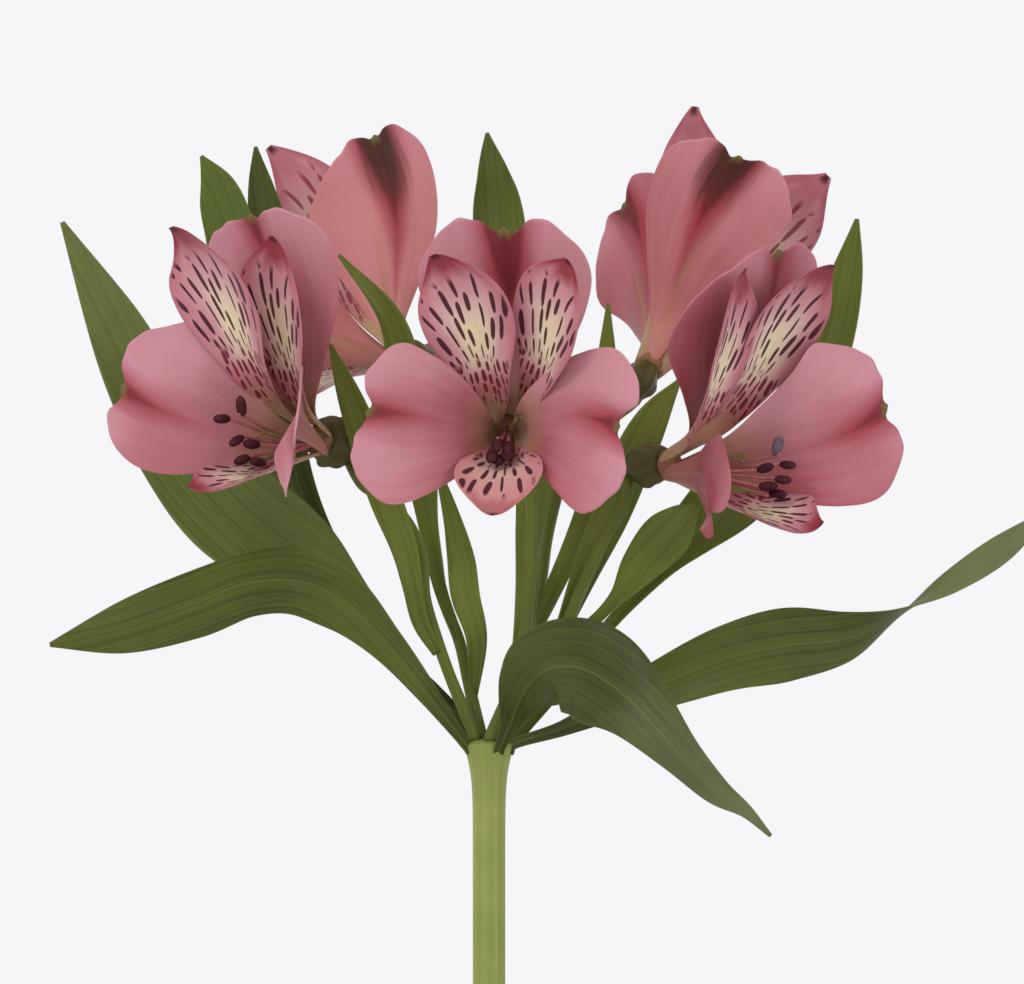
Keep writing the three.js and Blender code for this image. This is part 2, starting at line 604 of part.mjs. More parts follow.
// The leaves of the whorl, from the fork
const LEAVES = {
  leaf_left_high: [
    [-5.4, 1.97, 0.7, 1.1, 0.3, 0], [-18, 7, 17.6, 2.4, 0.3, 10], [-29.4, 10, 29.2, 5.2, 0.25, 15],
    [-40.1, 12, 38.4, 9.4, 0.25, 10], [-53.8, 13, 49.4, 11.2, 0.25, 0], [-65, 13, 62.8, 10, 0.25, -5],
    [-73, 12, 75.8, 7.8, 0.25, -5], [-80, 10, 90, 5.6, 0.25, 0], [-90.1, 6, 110.1, 0.5, 0.2, 0],
  ],
  leaf_left_low: [
    [-5.08, -2.70, 0.7, 1.1, 0.3, 0], [-12.2, -7.4, 10.4, 2.2, 0.35, -10], [-21, -10, 21.6, 4.2, 0.3, -20],
    [-29.9, -13, 30.4, 6.6, 0.2, -20], [-39.5, -16, 34.6, 7, 0.1, 0], [-50.3, -20, 34, 6.8, -0.1, 15],
    [-61.5, -23, 29.8, 7, -0.15, 15], [-75.8, -25, 25, 5.2, -0.1, 5], [-90.2, -25, 21.7, 0.5, 0, 0],
  ],
  leaf_front: [
    [2.5, -5.2, 0.45, 1.3, 0.3, 20], [4.6, -8.4, 5.2, 2.3, 0.25, 15], [6.1, -12, 9.3, 4.2, 0.25, 10],
    [8.4, -16, 13.3, 6.8, 0.1, 8], [12.1, -21, 16.6, 9, 0.1, 5], [18.2, -27, 17.2, 10.2, -0.08, 0],
    [24, -32, 14.5, 9.9, -0.08, 0], [30.5, -38, 9.2, 7.2, -0.08, -4], [38.8, -43, 0.1, 4.3, -0.08, 0],
    [46, -46, -7.1, 2.9, -0.08, 5], [52, -47.6, -11.2, 1.4, -0.08, 0], [57, -48.4, -16.2, 0.4, -0.08, 0],
  ],
  leaf_right_low: [
    [5.64, -1.72, 0.5, 1.1, 0.3, 0], [15.4, -3, 3.6, 1.6, 0.4, 0], [25.8, -4, 8.4, 3.2, 0.3, 0],
    [37.4, -6, 13.6, 5.2, 0.2, 0], [49.7, -8, 18.5, 6.8, 0.1, 0], [61.7, -9, 21.2, 7.8, -0.1, 5],
    [74.4, -9, 22.7, 6, -0.1, 25], [85.8, -8, 27.9, 3.6, 0, 80], [95.9, -6, 34, 3.4, 0, 130],
    [107.3, -3, 41.3, 3.2, 0, 150], [118.2, 0, 49.6, 0.5, 0, 150],
  ],
  leaf_right_high: [
    [5.25, 2.34, 0.7, 1.1, 0.3, 0], [15, 7, 12.4, 1.6, 0.3, -10], [25.2, 10, 24.6, 1.6, 0.28, -27.5],
    [35, 12, 34.4, 2.6, 0.28, -35], [43, 13, 43.6, 5.7, 0.28, -25], [53.6, 14, 53.6, 8.2, 0.28, -25],
    [65.6, 15, 68, 7.7, 0.28, -25], [73.2, 15, 85, 5.1, 0.28, -25], [76.2, 15, 98.6, 3.8, 0.28, -25],
    [78.2, 15, 111.2, 0.5, 0.1, -25],
  ],
  leaf_back_centre: [
    [2.52, 5.17, 0.7, 1.1, 0.3, 0], [6, 13, 13.4, 1.8, 0.3, 0], [9, 20, 30.2, 2.5, 0.28, 15],
    [9.6, 25, 51.4, 3.9, 0.28, 30], [6.8, 27, 72.7, 6.5, 0.28, 30], [2.9, 27, 91.9, 6.7, 0.28, 30],
    [1, 26, 112.2, 6.2, 0.28, 30], [0.2, 25, 121.8, 3.9, 0.28, 30], [-0.5, 24, 130.1, 0.4, 0.1, 30],
  ],
  leaf_back_left_outer: [
    [-3.7, 4.4, 0.7, 1.1, 0.3, 0], [-12.4, 9.4, 10, 1.4, 0.3, 0], [-20.8, 12.6, 17.8, 1.5, 0.28, -14],
    [-30.2, 17, 30, 2.3, 0.28, -28], [-40.6, 18.6, 45, 3.4, 0.28, -28], [-47.6, 18.8, 60, 5, 0.28, -28],
    [-50.6, 18.8, 77, 6.1, 0.28, -28], [-52.2, 18.6, 94, 6.8, 0.28, -28],
    [-54, 18.4, 107, 6.3, 0.28, -28], [-57, 18, 117, 5, 0.28, -28], [-61.4, 18, 124.8, 0.4, 0.1, -28],
  ],
  leaf_back_left_inner: [
    [-0.8, 5.69, 0.7, 1.1, 0.3, 0], [-11, 13.4, 10.4, 1.4, 0.3, 0], [-19, 17.6, 18, 1.6, 0.25, 16],
    [-28, 22, 30, 2.1, 0.25, 32], [-36.8, 23.6, 45, 2.8, 0.25, 32], [-42.4, 23.8, 60, 4, 0.25, 32],
    [-45.2, 23.6, 77, 5.2, 0.25, 32], [-46.8, 23.2, 94, 5.7, 0.25, 32], [-48, 22.8, 108, 5, 0.25, 32],
    [-49.2, 22.4, 118, 3.3, 0.25, 32], [-50, 22, 127, 0.4, 0.1, 32],
  ],
};
for (const [name, rows] of Object.entries(LEAVES)) {
  addMesh(head, name, blade(rows, LEAF_SHAPE, LEAF_GRID, LEAF_THICKNESS), greenLeaf);
}

// The main stem stands in the soil and flares into the fork.
const stemFoot = SOIL_TOP - STEM_ROOT_DEPTH;
const stemRows = [
  [0, 0, stemFoot, STEM_FOOT_RADIUS],
  [0, 0, SOIL_TOP, STEM_FOOT_RADIUS],
  [0, 0, SOIL_TOP + 45, STEM_RADIUS + 0.2],
  [0, 0, FORK_HEIGHT - 50, STEM_RADIUS],
  [0, 0, FORK_HEIGHT - 14, STEM_RADIUS + 0.1],
  [0, 0, FORK_HEIGHT, FORK_RADIUS],
];
addMesh(part, "stem", stalk(stemRows, 8, 12), greenStem);

// The leaves of the lower stem arch outwards. Rows run outwards, sideways and up from the leaf's root.
const STEM_LEAF_ROWS = [
  [4.7, 0, 0, 1.6, 0.3, 0], [9, 0, 14, 3.2, 0.3, 0], [18, 1, 27, 6, 0.25, 8], [30, 2, 35, 8, 0.2, 12],
  [43, 2, 36, 7.4, 0.15, 8], [54, 1, 31, 5, 0.1, 0], [62, 0, 24, 0.5, 0.1, 0],
];
const STEM_LEAF_SHAPE = { facing: new THREE.Vector3(-0.6, 0, 1), wave: 0.6, waves: 2 };
const STEM_LEAVES = [
  { height: 116, azimuth: 205 },
  { height: 131, azimuth: 335 },
  { height: 146, azimuth: 85 },
];
STEM_LEAVES.forEach(({ height, azimuth }, i) => {
  const leaf = blade(STEM_LEAF_ROWS, STEM_LEAF_SHAPE, STEM_LEAF_GRID, LEAF_THICKNESS);
  const mesh = addMesh(part, `stem_leaf_${i + 1}`, leaf, greenLeaf);
  mesh.position.z = height;
  mesh.rotation.z = THREE.MathUtils.degToRad(azimuth);
});

// The pot and the soil, turned about Z. Profiles run as radius, height, and start and end on the axis.
function turned(profile) {
  const points = profile.map(([radius, height]) => new THREE.Vector2(radius, height));
  return solidOf(new THREE.LatheGeometry(points, POT_SEGMENTS).rotateX(Math.PI / 2));
}

const rimFoot = POT_HEIGHT - POT_RIM_HEIGHT;
const potTaper = (POT_RIM_RADIUS - POT_RIM_STEP - POT_FOOT_RADIUS) / rimFoot;
const bodyRadius = (z) => POT_FOOT_RADIUS + potTaper * z;
const innerRadius = (z) => bodyRadius(z) - POT_WALL;
const potBody = turned([
  [0, 0],
  [POT_FOOT_RADIUS - POT_EDGE, 0],
  [POT_FOOT_RADIUS, POT_EDGE],
  [bodyRadius(rimFoot), rimFoot],
  [POT_RIM_RADIUS - 1, rimFoot + 1],
  [POT_RIM_RADIUS, POT_HEIGHT - 3],
  [POT_RIM_RADIUS - 1.2, POT_HEIGHT - 0.6],
  [POT_RIM_RADIUS - 3, POT_HEIGHT],
  [POT_RIM_RADIUS - 5.4, POT_HEIGHT - 1],
  [innerRadius(POT_HEIGHT - 5), POT_HEIGHT - 5],
  [innerRadius(POT_WALL), POT_WALL],
  [0, POT_WALL],
]);
const drains = [45, 165, 285].map((azimuth) =>
  solidOf(
    new THREE.CylinderGeometry(DRAIN_RADIUS, DRAIN_RADIUS, POT_WALL * 3, 12)
      .rotateX(Math.PI / 2)
      .translate(DRAIN_DISTANCE, 0, POT_WALL / 2)
      .rotateZ(THREE.MathUtils.degToRad(azimuth)),
  ),
);
const drainedPot = drains.reduce((body, drain) => body.subtract(drain), potBody);
addMesh(part, "pot", geometryOf(drainedPot), terracotta);

const soilFoot = POT_WALL + JOINT_GAP;
const soilTopRadius = innerRadius(SOIL_TOP) - JOINT_GAP;
const holeRadius = STEM_FOOT_RADIUS + JOINT_GAP;
const soil = turned([
  [0, soilFoot],
  [innerRadius(soilFoot) - JOINT_GAP, soilFoot],
  [soilTopRadius, SOIL_TOP],
  [soilTopRadius * 0.7, SOIL_TOP + SOIL_MOUND * 0.4],
  [soilTopRadius * 0.35, SOIL_TOP + SOIL_MOUND * 0.85],
  [holeRadius, SOIL_TOP + SOIL_MOUND],
  [holeRadius, stemFoot - JOINT_GAP],
  [0, stemFoot - JOINT_GAP],
]);
addMesh(part, "soil", geometryOf(soil), soilBrown);

export default part;
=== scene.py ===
import math
from functools import partialmethod

import bpy
import numpy as np
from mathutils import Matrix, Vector, noise


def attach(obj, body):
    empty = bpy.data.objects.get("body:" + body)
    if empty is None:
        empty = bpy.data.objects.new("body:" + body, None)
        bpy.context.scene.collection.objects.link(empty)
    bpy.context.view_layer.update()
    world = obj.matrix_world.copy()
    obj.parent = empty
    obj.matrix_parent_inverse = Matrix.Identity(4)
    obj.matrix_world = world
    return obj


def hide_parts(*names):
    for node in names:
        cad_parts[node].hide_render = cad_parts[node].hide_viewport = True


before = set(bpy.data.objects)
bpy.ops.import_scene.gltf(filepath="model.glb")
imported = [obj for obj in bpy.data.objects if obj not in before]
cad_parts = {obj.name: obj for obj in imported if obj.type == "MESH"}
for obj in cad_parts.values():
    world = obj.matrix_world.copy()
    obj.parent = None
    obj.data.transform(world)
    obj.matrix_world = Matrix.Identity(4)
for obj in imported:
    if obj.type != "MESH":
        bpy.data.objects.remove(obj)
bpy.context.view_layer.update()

# Millimetres here, metres in the meshes. +Z up, the blooms face -Y.
MM = 0.001
POT_HEIGHT = 112
POT_FOOT_RADIUS = 41
POT_RIM_RADIUS = 64
POT_RIM_HEIGHT = 22
POT_RIM_STEP = 4.5
POT_LIP = 5.4
POT_WALL = 5
POT_CHAMFER = 0.4
POT_ROUNDING = 1.8
DRAIN_RADIUS = 5
DRAIN_DISTANCE = 22
DRAIN_AZIMUTHS = (45, 165, 285)
JOINT_GAP = 0.35
SOIL_TOP = 99
SOIL_MOUND = 4
SOIL_EDGE = 3
CRUMBS = 620
PERLITE_EVERY = 9
STEM_DEPTH = 12
STEM_FOOT_RADIUS = 3.9
STEM_RADIUS = 3.4
STEM_NODE_BULGE = 0.35
STEM_NODE_LENGTH = 1.5
FORK_HEIGHT = 242
FORK_RADIUS = 5.2
FORK_FLARE = 5
STALK_RADIUS = 1.35
OVARY_LENGTH = 9.5
OVARY_RADIUS = 3.9
OVARY_NECK = 1.6
OVARY_GAP = 0.15
LEAF_THICKNESS = 0.6
TEPAL_THICKNESS = 0.45
ANTHER_LENGTH = 4.4
FILAMENT_RADIUS = 0.34
STAMEN_RING = 0.62

# What each corner of a mesh knows for its paint: its distance in mm from the midrib, 1 if it is on the
# back, its share of the way out to the edge, how far across it is from the notch, and the petal's looks.
MARKS = ("span", "back", "reach", "notch", "flush", "warm", "patch")

# Curves and blades. These are shares of a blade's length and half width, but for the least, which is in mm.
LEAST_HALF_WIDTH = 0.15
NIB_WIDTH = 0.05
CREASE_WIDTH = 0.25
HOOK_START, HOOK_LENGTH = 0.94, 0.06
STEP_AHEAD = 0.01


def unit(vectors):
    return vectors / np.linalg.norm(vectors, axis=-1, keepdims=True)


def circle(sides):
    """The angles of a circle's corners."""
    return np.linspace(0, 2 * np.pi, sides, endpoint=False)


def turned(vectors, axis, degrees):
    """The vectors turned about a unit axis, or each about an axis of its own."""
    angle = np.radians(degrees)[..., None]
    along = np.sum(vectors * axis, axis=-1, keepdims=True) * axis
    return along + (vectors - along) * np.cos(angle) + np.cross(axis, vectors) * np.sin(angle)


def sample(rows, t):
    """The smooth curve through rows of numbers, at each t from 0 to 1."""
    rows = np.asarray(rows, float)
    spans = len(rows) - 1
    rows = np.vstack([2 * rows[0] - rows[1], rows, 2 * rows[-1] - rows[-2]])
    k = np.clip(np.floor(t * spans).astype(int), 0, spans - 1)
    f = (t * spans - k)[..., None]
    p, q, r, s = rows[k], rows[k + 1], rows[k + 2], rows[k + 3]
    return (2 * q + (r - p) * f + (2 * p - 5 * q + 4 * r - s) * f**2 + (3 * q - p - 3 * r + s) * f**3) / 2


def direction(rows, t):
    """Which way the curve through the rows' places runs, at each t."""
    return unit(sample(rows, t + STEP_AHEAD)[..., :3] - sample(rows, t - STEP_AHEAD)[..., :3])


def blade_surface(rows, shape, t, v):
    """Points and normals of a blade at t along and v across, how far along its rows each lies, and the half
    width there. The shape says what it faces, its edge (round, notch, nib, frill and skew) and its folds
    (wave, crease, hook and relief)."""
    from_notch = v - shape.get("notchAt", 0)
    notch = shape.get("notch", 0) * np.exp(-((from_notch / shape.get("notchWide", 0.2)) ** 2))
    rounding = shape.get("round", 0) * (1 - np.sqrt(np.maximum(0, 1 - v * v)))
    nib = shape.get("nib", 0) * np.exp(-((from_notch / NIB_WIDTH) ** 2))
    frill = shape.get("frill", 0) * (np.sin(11 * v + 2) + 0.6 * np.sin(23 * v))
    along = t * (1 - rounding - notch + nib + frill + shape.get("skew", 0) * v)
    row = sample(rows, along)
    centre = row[..., :3]
    width = np.maximum(row[..., 3], LEAST_HALF_WIDTH)
    tangent = direction(rows, along)
    look = np.array(shape["focus"]) - centre if "focus" in shape else np.array(shape["facing"], float)
    normal = unit(look - np.sum(look * tangent, axis=-1, keepdims=True) * tangent)
    normal = turned(normal, tangent, row[..., 5])
    side = np.cross(tangent, normal)
    phase = shape.get("waves", 1) * 2 * np.pi * along + np.where(v > 0, 1.7, 0)
    ruffle = shape.get("wave", 0) * np.sin(phase) * np.sin(np.pi * along)
    crease = shape.get("crease", 0) * along**3 * np.exp(-((from_notch / CREASE_WIDTH) ** 2))
    hook = shape.get("hook", 0) * np.maximum(0, (along - HOOK_START) / HOOK_LENGTH) ** 2
    rise = width * row[..., 4] * v * v + ruffle * v * v - crease + hook
    if "relief" in shape:
        rise = rise + shape["relief"](along, v, width)
    slope = 2 * (row[..., 4] + ruffle / width) * v
    point = centre + side * (width * v)[..., None] + normal * rise[..., None]
    return point, unit(normal - side * slope[..., None]), along, width


def blade(rows, shape, steps, thickness, flush=0, warm=0, patch=0, tilt=0):
    """A closed blade on a grid of steps along and across, thinner towards its margins and its end. tilt is
    how far its flush grows from one margin to the other."""
    long_steps, cross_steps = steps
    s = np.linspace(-1, 1, cross_steps + 1)
    across = np.sin(s * np.pi / 2) if shape.get("round") else s
    t, v = np.meshgrid(np.linspace(0, 1, long_steps + 1), across, indexing="ij")
    point, normal, along, width = blade_surface(rows, shape, t, v)
    thin = thickness / 2 * (0.35 + 0.65 * np.sqrt(1 - v**6)) * (1 - 0.5 * along**4)
    front = point + normal * thin[..., None]
    back = point - normal * thin[..., None]
    count = t.size
    grid = np.arange(count).reshape(t.shape)
    cells = np.stack([grid[:-1, :-1], grid[:-1, 1:], grid[1:, 1:], grid[1:, :-1]], -1).reshape(-1, 4)
    rim = np.concatenate([grid[0, :-1], grid[:-1, -1], grid[-1, :0:-1], grid[:0:-1, 0]])
    ahead = np.roll(rim, -1)
    edge = np.stack([rim, rim + count, ahead + count, ahead], -1)
    return {
        "points": np.concatenate([front.reshape(-1, 3), back.reshape(-1, 3)]),
        "faces": np.concatenate([cells, cells[:, ::-1] + count, edge]).tolist(),
        "uv": np.tile(np.stack([(v.ravel() + 1) / 2, along.ravel()], -1), (2, 1)),
        "marks": np.column_stack([
            np.tile((width * v).ravel(), 2), np.repeat([0.0, 1.0], count), np.tile(t.ravel(), 2),
            np.tile((v - shape.get("notchAt", 0)).ravel(), 2), np.tile((flush + tilt * v).ravel(), 2),
            np.tile((warm, patch), (2 * count, 1)),
        ]),
    }


def round_body(rings, ends, uv=None):
    """A closed body from rings of points, foot to top, and the two points that close it. Its marks are 0."""
    sides = len(rings[0])
    points = np.concatenate([*rings, ends])
    foot, top = len(points) - 2, len(points) - 1
    here = np.arange(foot).reshape(-1, sides)
    ahead = np.roll(here, -1, axis=1)
    faces = np.stack([here[:-1], ahead[:-1], ahead[1:], here[1:]], -1).reshape(-1, 4).tolist()
    faces += [[foot, after, corner] for corner, after in zip(here[0], ahead[0])]
    faces += [[corner, after, top] for corner, after in zip(here[-1], ahead[-1])]
    uv = np.zeros((len(points), 2)) if uv is None else uv
    return {"points": points, "faces": faces, "uv": uv, "marks": np.zeros((len(points), len(MARKS)))}


def tube(rows, steps, sides, ribs=0, depth=0.0):
    """A closed round stalk through rows of x, y, z and radius, with ribs along it."""
    t = np.linspace(0, 1, steps + 1)
    row = sample(rows, t)
    across = np.array([0.3, 1, 0.1])
    angle = circle(sides)
    bulge = 1 + depth * np.cos(ribs * angle)
    rings = []
    for place, ahead in zip(row, direction(rows, t)):
        across = unit(across - across.dot(ahead) * ahead)
        other = np.cross(ahead, across)
        spoke = np.outer(np.cos(angle), across) + np.outer(np.sin(angle), other)
        rings.append(place[:3] + spoke * (place[3] * bulge)[:, None])
    around = np.append(np.tile(angle / (2 * np.pi), steps + 1), [0.5, 0.5])
    along = np.append(np.repeat(t, sides), [0, 1])
    return round_body(rings, row[[0, -1], :3], np.stack([around, along], -1))


def lathe(profile, sides):
    """A closed body turned about Z from a profile of radius and height with both ends on the axis."""
    angle = circle(sides)
    spokes = np.stack([np.cos(angle), np.sin(angle)], -1)
    rings = [np.column_stack([spokes * radius, np.full(sides, height)]) for radius, height in profile[1:-1]]
    return round_body(rings, [[0, 0, profile[0][1]], [0, 0, profile[-1][1]]])


def placed(shape, axes, foot):
    """The shape carried from its own frame to the frame whose axes and foot are given."""
    return {**shape, "points": shape["points"] @ np.array(axes) + np.array(foot)}


def piece(name, shapes, materials, lift=FORK_HEIGHT):
    """One smooth object from shapes, each with the index of its material. It stands for its node."""
    points, faces, index, count = [], [], [], 0
    for shape, material in shapes:
        points.append(shape["points"] + np.array([0, 0, lift]))
        faces += [[corner + count for corner in face] for face in shape["faces"]]
        index += [material] * len(shape["faces"])
        count += len(shape["points"])
    mesh = bpy.data.meshes.new(name)
    mesh.from_pydata((np.concatenate(points) * MM).tolist(), [], faces)
    corners = np.empty(len(mesh.loops), int)
    mesh.loops.foreach_get("vertex_index", corners)
    uv = np.concatenate([shape["uv"] for shape, _ in shapes])
    mesh.uv_layers.new(name="Blade").data.foreach_set("uv", uv[corners].ravel().astype(np.float32))
    marks = np.concatenate([shape["marks"] for shape, _ in shapes]).astype(np.float32)
    for key, values in zip(MARKS, marks.T):
        mesh.attributes.new(key, "FLOAT", "POINT").data.foreach_set("value", np.ascontiguousarray(values))
    for material in materials:
        mesh.materials.append(material)
    mesh.polygons.foreach_set("material_index", index)
    mesh.polygons.foreach_set("use_smooth", [True] * len(faces))
    mesh.update()
    thing = bpy.data.objects.new(name, mesh)
    bpy.context.scene.collection.objects.link(thing)
    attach(thing, "root")
    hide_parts(name.removeprefix("fine_"))
    return thing


# Materials as arithmetic on the values of a node tree. The Mix node has sockets of the same names for
# numbers, vectors and colours: these are the colour's.
MIX_FACTOR, MIX_FIRST, MIX_SECOND, MIX_RESULT = 0, 6, 7, 2


def tone(colour):
    """A colour given as 0 to 255 display values, as the shader takes it."""
    shares = (value / 255 for value in colour)
    return (*[c / 12.92 if c <= 0.04045 else ((c + 0.055) / 1.055) ** 2.4 for c in shares], 1.0)


class Wire:
    """A value in a node tree."""

    def __init__(self, tree, socket):
        self.tree, self.socket = tree, socket

    def math(self, operation, *others):
        node = self.tree.nodes.new("ShaderNodeMath")
        node.operation = operation
        for socket, value in zip(node.inputs, (self, *others)):
            plug(self.tree, socket, value)
        return Wire(self.tree, node.outputs[0])

    __add__ = partialmethod(math, "ADD")
    __sub__ = partialmethod(math, "SUBTRACT")
    __mul__ = partialmethod(math, "MULTIPLY")
    __truediv__ = partialmethod(math, "DIVIDE")
    size = partialmethod(math, "ABSOLUTE")
    floor = partialmethod(math, "FLOOR")
    below = partialmethod(math, "MINIMUM")
    above = partialmethod(math, "MAXIMUM")

    def square(self):
        return self * self

    def ease(self, low, high):
        """0 at low and 1 at high, smooth between them."""
        node = self.tree.nodes.new("ShaderNodeMapRange")
        node.interpolation_type = "SMOOTHSTEP"
        plug(self.tree, node.inputs["Value"], self)
        node.inputs["From Min"].default_value = low
        node.inputs["From Max"].default_value = high
        return Wire(self.tree, node.outputs["Result"])


def plug(tree, socket, value):
    if isinstance(value, Wire):
        tree.links.new(value.socket, socket)
    else:
        socket.default_value = value


class Paint:
    """A material with a Principled shader, and short names for the nodes that feed it."""

    def __init__(self, name, roughness, finish):
        self.material = bpy.data.materials.new(name)
        self.material.use_nodes = True
        self.tree = self.material.node_tree
        self.shader = self.tree.nodes["Principled BSDF"]
        self.colour = None
        self.shader.inputs["Roughness"].default_value = roughness
        for key, value in finish.items():
            self.shader.inputs[key].default_value = value

    def make(self, kind, output=0, **inputs):
        node = self.tree.nodes.new(kind)
        for key, value in inputs.items():
            plug(self.tree, node.inputs[key], value)
        return Wire(self.tree, node.outputs[output])

    def value(self, name):
        """One of the MARKS."""
        node = self.tree.nodes.new("ShaderNodeAttribute")
        node.attribute_name = name
        return Wire(self.tree, node.outputs["Fac"])

    def blade(self):
        """The place across, from -1 to 1, and along the blade, from 0 to 1."""
        node = self.tree.nodes.new("ShaderNodeUVMap")
        node.uv_map = "Blade"
        across, along, _ = self.parts(Wire(self.tree, node.outputs["UV"]))
        return across * 2.0 - 1.0, along

    def place(self):
        return self.make("ShaderNodeTexCoord", "Object")

    def vector(self, x, y, z=0.0):
        return self.make("ShaderNodeCombineXYZ", X=x, Y=y, Z=z)

    def parts(self, vector):
        """The three numbers of a vector."""
        node = self.tree.nodes.new("ShaderNodeSeparateXYZ")
        plug(self.tree, node.inputs[0], vector)
        return [Wire(self.tree, socket) for socket in node.outputs]

    def noise(self, vector, scale, detail=2.0, roughness=0.5):
        settings = {"Vector": vector, "Scale": scale, "Detail": detail, "Roughness": roughness}
        return self.make("ShaderNodeTexNoise", "Fac", **settings)

    def chance(self, x, y):
        """Three random numbers for a cell."""
        node = self.tree.nodes.new("ShaderNodeTexWhiteNoise")
        node.noise_dimensions = "2D"
        plug(self.tree, node.inputs["Vector"], self.vector(x, y))
        return self.parts(Wire(self.tree, node.outputs["Color"]))

    def mix(self, factor, first, second):
        """The first colour where the factor is 0, and the second where it is 1."""
        node = self.tree.nodes.new("ShaderNodeMix")
        node.data_type = "RGBA"
        plug(self.tree, node.inputs[MIX_FACTOR], factor)
        for number, colour in ((MIX_FIRST, first), (MIX_SECOND, second)):
            plug(self.tree, node.inputs[number], colour if isinstance(colour, Wire) else tone(colour))
        return Wire(self.tree, node.outputs[MIX_RESULT])

    def lay(self, factor, colour):
        """Lay a colour over the paint's own, where the factor is above 0."""
        self.colour = self.mix(factor, self.colour, colour)

    def dashes(self, across, along, rows, cells, thick, seed, share):
        """Strokes along the blade, 1 on them and 0 off them, in slightly wandering rows, shorter near its
        root. A higher share leaves more of them out."""
        wander = self.noise(self.vector(across * 2.0, along * 4.0, seed), 1.0, 1.0)
        lane = (across + (wander - 0.5) * 0.12) * rows + seed
        row = lane.floor()
        start = self.chance(row, seed)[0]
        run = along.math("POWER", 0.4) * cells + start * 7.0
        cell = run.floor()
        long, wide, shift = self.chance(row, cell)
        x = (lane - row - 0.5 + (shift - 0.5) * 0.5) / ((wide * 0.8 + 0.6) * thick)
        y = (run - cell - 0.5) / (long * 0.2 + 0.32)
        present = (long + wide + shift).ease(share, share + 0.05)
        return (x.square() + y.square() * y.size()).ease(1.25, 0.75) * present

    def finish(self, height=None, distance=0.0, strength=0.0):
        """The material with its colour and, where a height is given, a bump of it over a distance in mm."""
        plug(self.tree, self.shader.inputs["Base Color"], self.colour)
        if height is not None:
            settings = {"Strength": strength, "Distance": distance * MM, "Height": height}
            plug(self.tree, self.shader.inputs["Normal"], self.make("ShaderNodeBump", "Normal", **settings))
        return self.material


# The petals. Rows are forward, sideways and up from the ovary's top, half width, cup, roll in degrees.
OUTER_UPPER = [
    [0.6, 0, 2.65, 1.3, 0.28, 0], [8.6, 0, 8.4, 4.4, 0.4, 0], [13.4, 0, 17.4, 10, 0.2, 0],
    [17.2, 0, 27.4, 16, -0.05, 0], [20.8, 0, 37.4, 18.2, -0.12, 0], [23.6, 0, 48, 16.4, -0.15, 0],
]
OUTER_SIDE = [
    [0.6, 2.3, -1.35, 1.3, 0.28, 0], [12.5, 5.2, 1, 4.4, 0.4, 0], [20.8, 9.4, 3.2, 9.2, 0.26, 0],
    [27.8, 14.4, 5.2, 13.6, 0.12, 0], [32.8, 19.8, 7, 16.8, 0.02, 0], [37.2, 26.6, 9, 15.6, -0.08, 0],
]
INNER_UPPER = [
    [0.6, 2.3, 1.35, 1.3, 0.28, 0], [12, 3.8, 6.6, 2.9, 0.5, 0], [20, 5.8, 14, 5.6, 0.4, 0],
    [26, 7.8, 23.4, 9.2, 0.26, 0], [30.4, 10.6, 33, 8.2, 0.2, 0], [33.6, 15.2, 43, 0.9, 0.1, 0],
]
INNER_LOWER = [
    [0.6, 0, -2.65, 1.3, 0.28, 0], [12.5, 0, -4, 3, 0.5, 0], [20.8, 0, -5, 5.8, 0.4, 0],
    [28, 0, -6.2, 9, 0.3, 0], [34.4, 0, -8.4, 8.4, 0.25, 0], [40, 0, -12, 0.9, 0.1, 0],
]
BLOOM_FOCUS = (52, 0, 8)
OUTER_SHAPE = {
    "focus": BLOOM_FOCUS, "round": 0.27, "notch": 0.06, "notchAt": 0, "notchWide": 0.26, "skew": 0,
    "wave": 0.7, "waves": 1.6, "nib": 0.022, "frill": 0.005,
}
UPPER_SHAPE = {**OUTER_SHAPE, "crease": 1.6}
SIDE_SHAPE = {**OUTER_SHAPE, "crease": 1.2}
INNER_SHAPE = {"focus": BLOOM_FOCUS, "hook": 0.9}
OUTER_STEPS = (72, 72)
INNER_STEPS = (64, 32)

